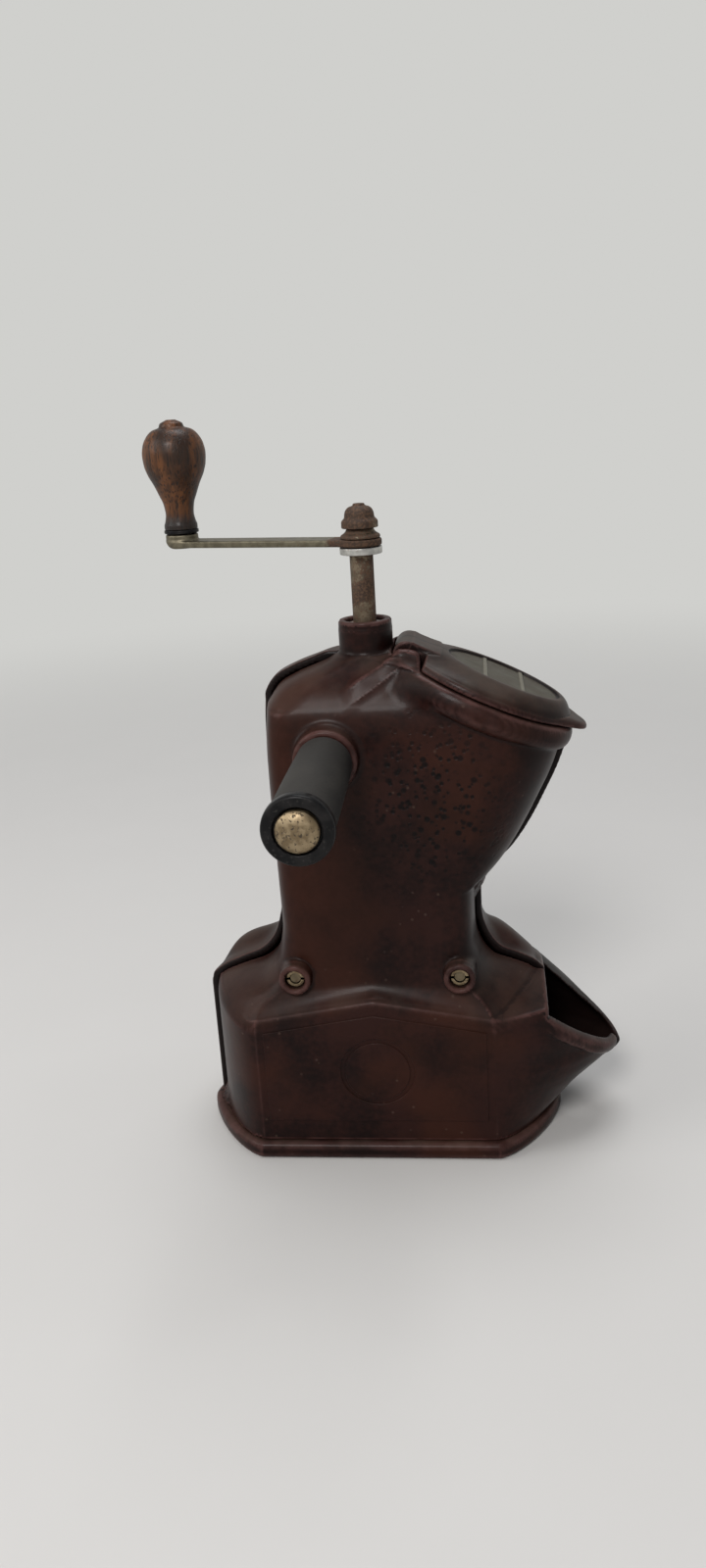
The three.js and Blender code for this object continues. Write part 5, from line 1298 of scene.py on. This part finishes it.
def screwPiece(name, tree, kind, points, place, finish, replaced):
    base = bpy.data.meshes.new(name + "_points")
    base.from_pydata([tuple(part * mm for part in point) for point in points], [], [])
    holder = addObject(name + "_points", base)
    modifier = holder.modifiers.new("screws", "NODES")
    modifier.node_group = tree
    sockets = {item.name: item.identifier for item in tree.interface.items_tree if item.in_out == "INPUT"}
    for size, value in screwSizes[kind].items():
        modifier[sockets[size]] = value * mm
    modifier[sockets["finish"]] = finish
    mesh = bpy.data.meshes.new_from_object(holder.evaluated_get(bpy.context.evaluated_depsgraph_get()))
    holder.modifiers.remove(modifier)
    bpy.data.objects.remove(holder)
    mesh.name = name
    move = place.copy()
    move.translation = place.translation * mm
    mesh.transform(move)
    mesh.shade_smooth()
    mesh.set_sharp_from_angle(angle=math.radians(screwSeats["sharpFrom"]))
    addMesh(mesh, name, finish, "mill_body", replaced)


def facing(turn, y=0, z=0):
    # the points' own frame, turned about x, so that the slots face to the front, the rear, down or up
    return Matrix.Translation((0, y, z)) @ Matrix.Rotation(math.radians(turn), 4, "X")


def allScrews():
    slotted, sleeved = screwTree("slotted_screw", False), screwTree("slotted_sleeve", True)
    seats = screwSeats
    bosses = [(end * screwPlace["x"], screwPlace["z"], 0) for end in (-1, 1)]
    screwPiece("sleeve_nuts", sleeved, "sleeveNuts", bosses, facing(90, y=seats["sleeveNuts"]), sleeveBrass,
               ["sleeve_nut_left", "sleeve_nut_right"])
    bosses = [(x, -z, y) for x, z, y in bosses]  # seen from the rear
    screwPiece("shell_screws", slotted, "shellScrews", bosses, facing(-90, y=seats["shellScrews"]),
               screwSteel, ["shell_screw_left", "shell_screw_right"])
    feet = [(end * postPlace["x"], -postPlace[side], 0) for end in (-1, 1) for side in ("front", "rear")]
    screwPiece("foot_screws", slotted, "footScrews", feet, facing(180, z=seats["footScrews"]), plainSteel,
               ["foot_screw_%d" % i for i in (1, 2, 3, 4)])
    yoke = [(end * seats["yokeReach"], 0, 0) for end in (-1, 1)]
    screwPiece("yoke_screws", slotted, "yokeScrews", yoke, facing(0, z=seats["yokeScrews"]), plainSteel,
               ["yoke_screw_1", "yoke_screw_2"])


allScrews()
print("screws made")


# Parts that keep their own solids

keptParts = {
    castIron: ["burr_housing", "burr_ring", "burr_cone", "yoke"],
    plainSteel: ["cone_pin", "retaining_clip", "thrust_pin"],
    paleSteel: ["thrust_ball"],
    sleeveBrass: ["adjusting_wheel"],
}


def paintKeptParts():
    for finish, names in keptParts.items():
        for name in names:
            for materialSlot in nodes[name].material_slots:
                materialSlot.material = finish


paintKeptParts()


# Floor, light and camera

stage = dict(flat=1500, rim=2600, rise=1500, colour=(0.62, 0.61, 0.59), far=(0.63, 0.63, 0.61),
             fade=(0.35, 1.3))


def paleSweep():
    profile = [(0, 0), (stage["flat"], 0)]
    for t in np.linspace(0, math.pi / 2, 20)[1:]:
        profile.append((mix(stage["flat"], stage["rim"], math.sin(t)), stage["rise"] * (1 - math.cos(t))))
    points, faces = turnedMesh(profile[::-1], upright, 96)
    mesh = meshOf("pale_sweep", points, faces)
    mesh.flip_normals()
    sweep = addObject("pale_sweep", mesh)
    f = Finish("pale_paper", {"Specular IOR Level": 0.2})
    paper = f.tint(f.noise(60, 3), stage["colour"], tuple(0.97 * part for part in stage["colour"]))
    mesh.materials.append(f.lay(paper, 0.9))
    # far from the object the camera and mirrored rays see an even pale backdrop
    rays = ("Is Camera Ray", "Is Glossy Ray", "Is Transmission Ray")
    seen, mirrored, through = (f.node("ShaderNodeLightPath", {}, {}, ray) for ray in rays)
    away = f.node("ShaderNodeVectorMath", {"operation": "LENGTH"}, {0: f.place}, "Value")
    glow = f.node("ShaderNodeEmission", {}, {"Color": (*stage["far"], 1), "Strength": 1})
    shader = Wire(f, f.shader.outputs[0])
    share = (seen + mirrored + through) * away.between(*stage["fade"])
    mixed = f.node("ShaderNodeMixShader", {}, {0: share, 1: shader, 2: glow})
    f.feed(f.tree.nodes["Material Output"].inputs["Surface"], mixed)


paleSweep()

lamps = {
    "key": dict(place=(-0.2, -1.1, 1.1), size=0.5, power=11, colour=(1, 0.98, 0.97)),
    "left": dict(place=(-1.2, -0.4, 0.9), size=0.9, power=6, colour=(1, 0.98, 0.96)),
    "top": dict(place=(0.1, 0.35, 1.6), size=0.9, power=11, colour=(0.97, 0.98, 1)),
}
room = dict(aim=(0, 0, 0.13), colour=(0.93, 0.95, 1), strength=0.3)
# where the photograph was taken from, in millimetres and degrees
view = dict(place=(41.923, -440.521, 290.377), turn=(71.9685, 3.3285, 5.4223), lens=27.045, sensor=36)


def setLight():
    for name, look in lamps.items():
        lamp = bpy.data.lights.new(name, "AREA")
        lamp.shape, lamp.size, lamp.energy, lamp.color = "DISK", look["size"], look["power"], look["colour"]
        holder = addObject(name, lamp)
        holder.location = look["place"]
        aim = Vector(room["aim"]) - holder.location
        holder.rotation_euler = aim.to_track_quat("-Z", "Y").to_euler()
    world = bpy.data.worlds.new("soft_room")
    bpy.context.scene.world = world
    world.use_nodes = True
    background = world.node_tree.nodes["Background"]
    background.inputs["Color"].default_value = (*room["colour"], 1)
    background.inputs["Strength"].default_value = room["strength"]


def setCamera():
    camera = bpy.data.cameras.new("photo_view")
    camera.lens, camera.sensor_width = view["lens"], view["sensor"]
    holder = addObject("photo_view", camera)
    holder.location = Vector(view["place"]) * mm
    holder.rotation_euler = Euler([math.radians(part) for part in view["turn"]], "XYZ")
    bpy.context.scene.camera = holder
    bpy.context.scene.view_settings.view_transform = "Standard"


setLight()
setCamera()
print("stage, lamps and camera set")
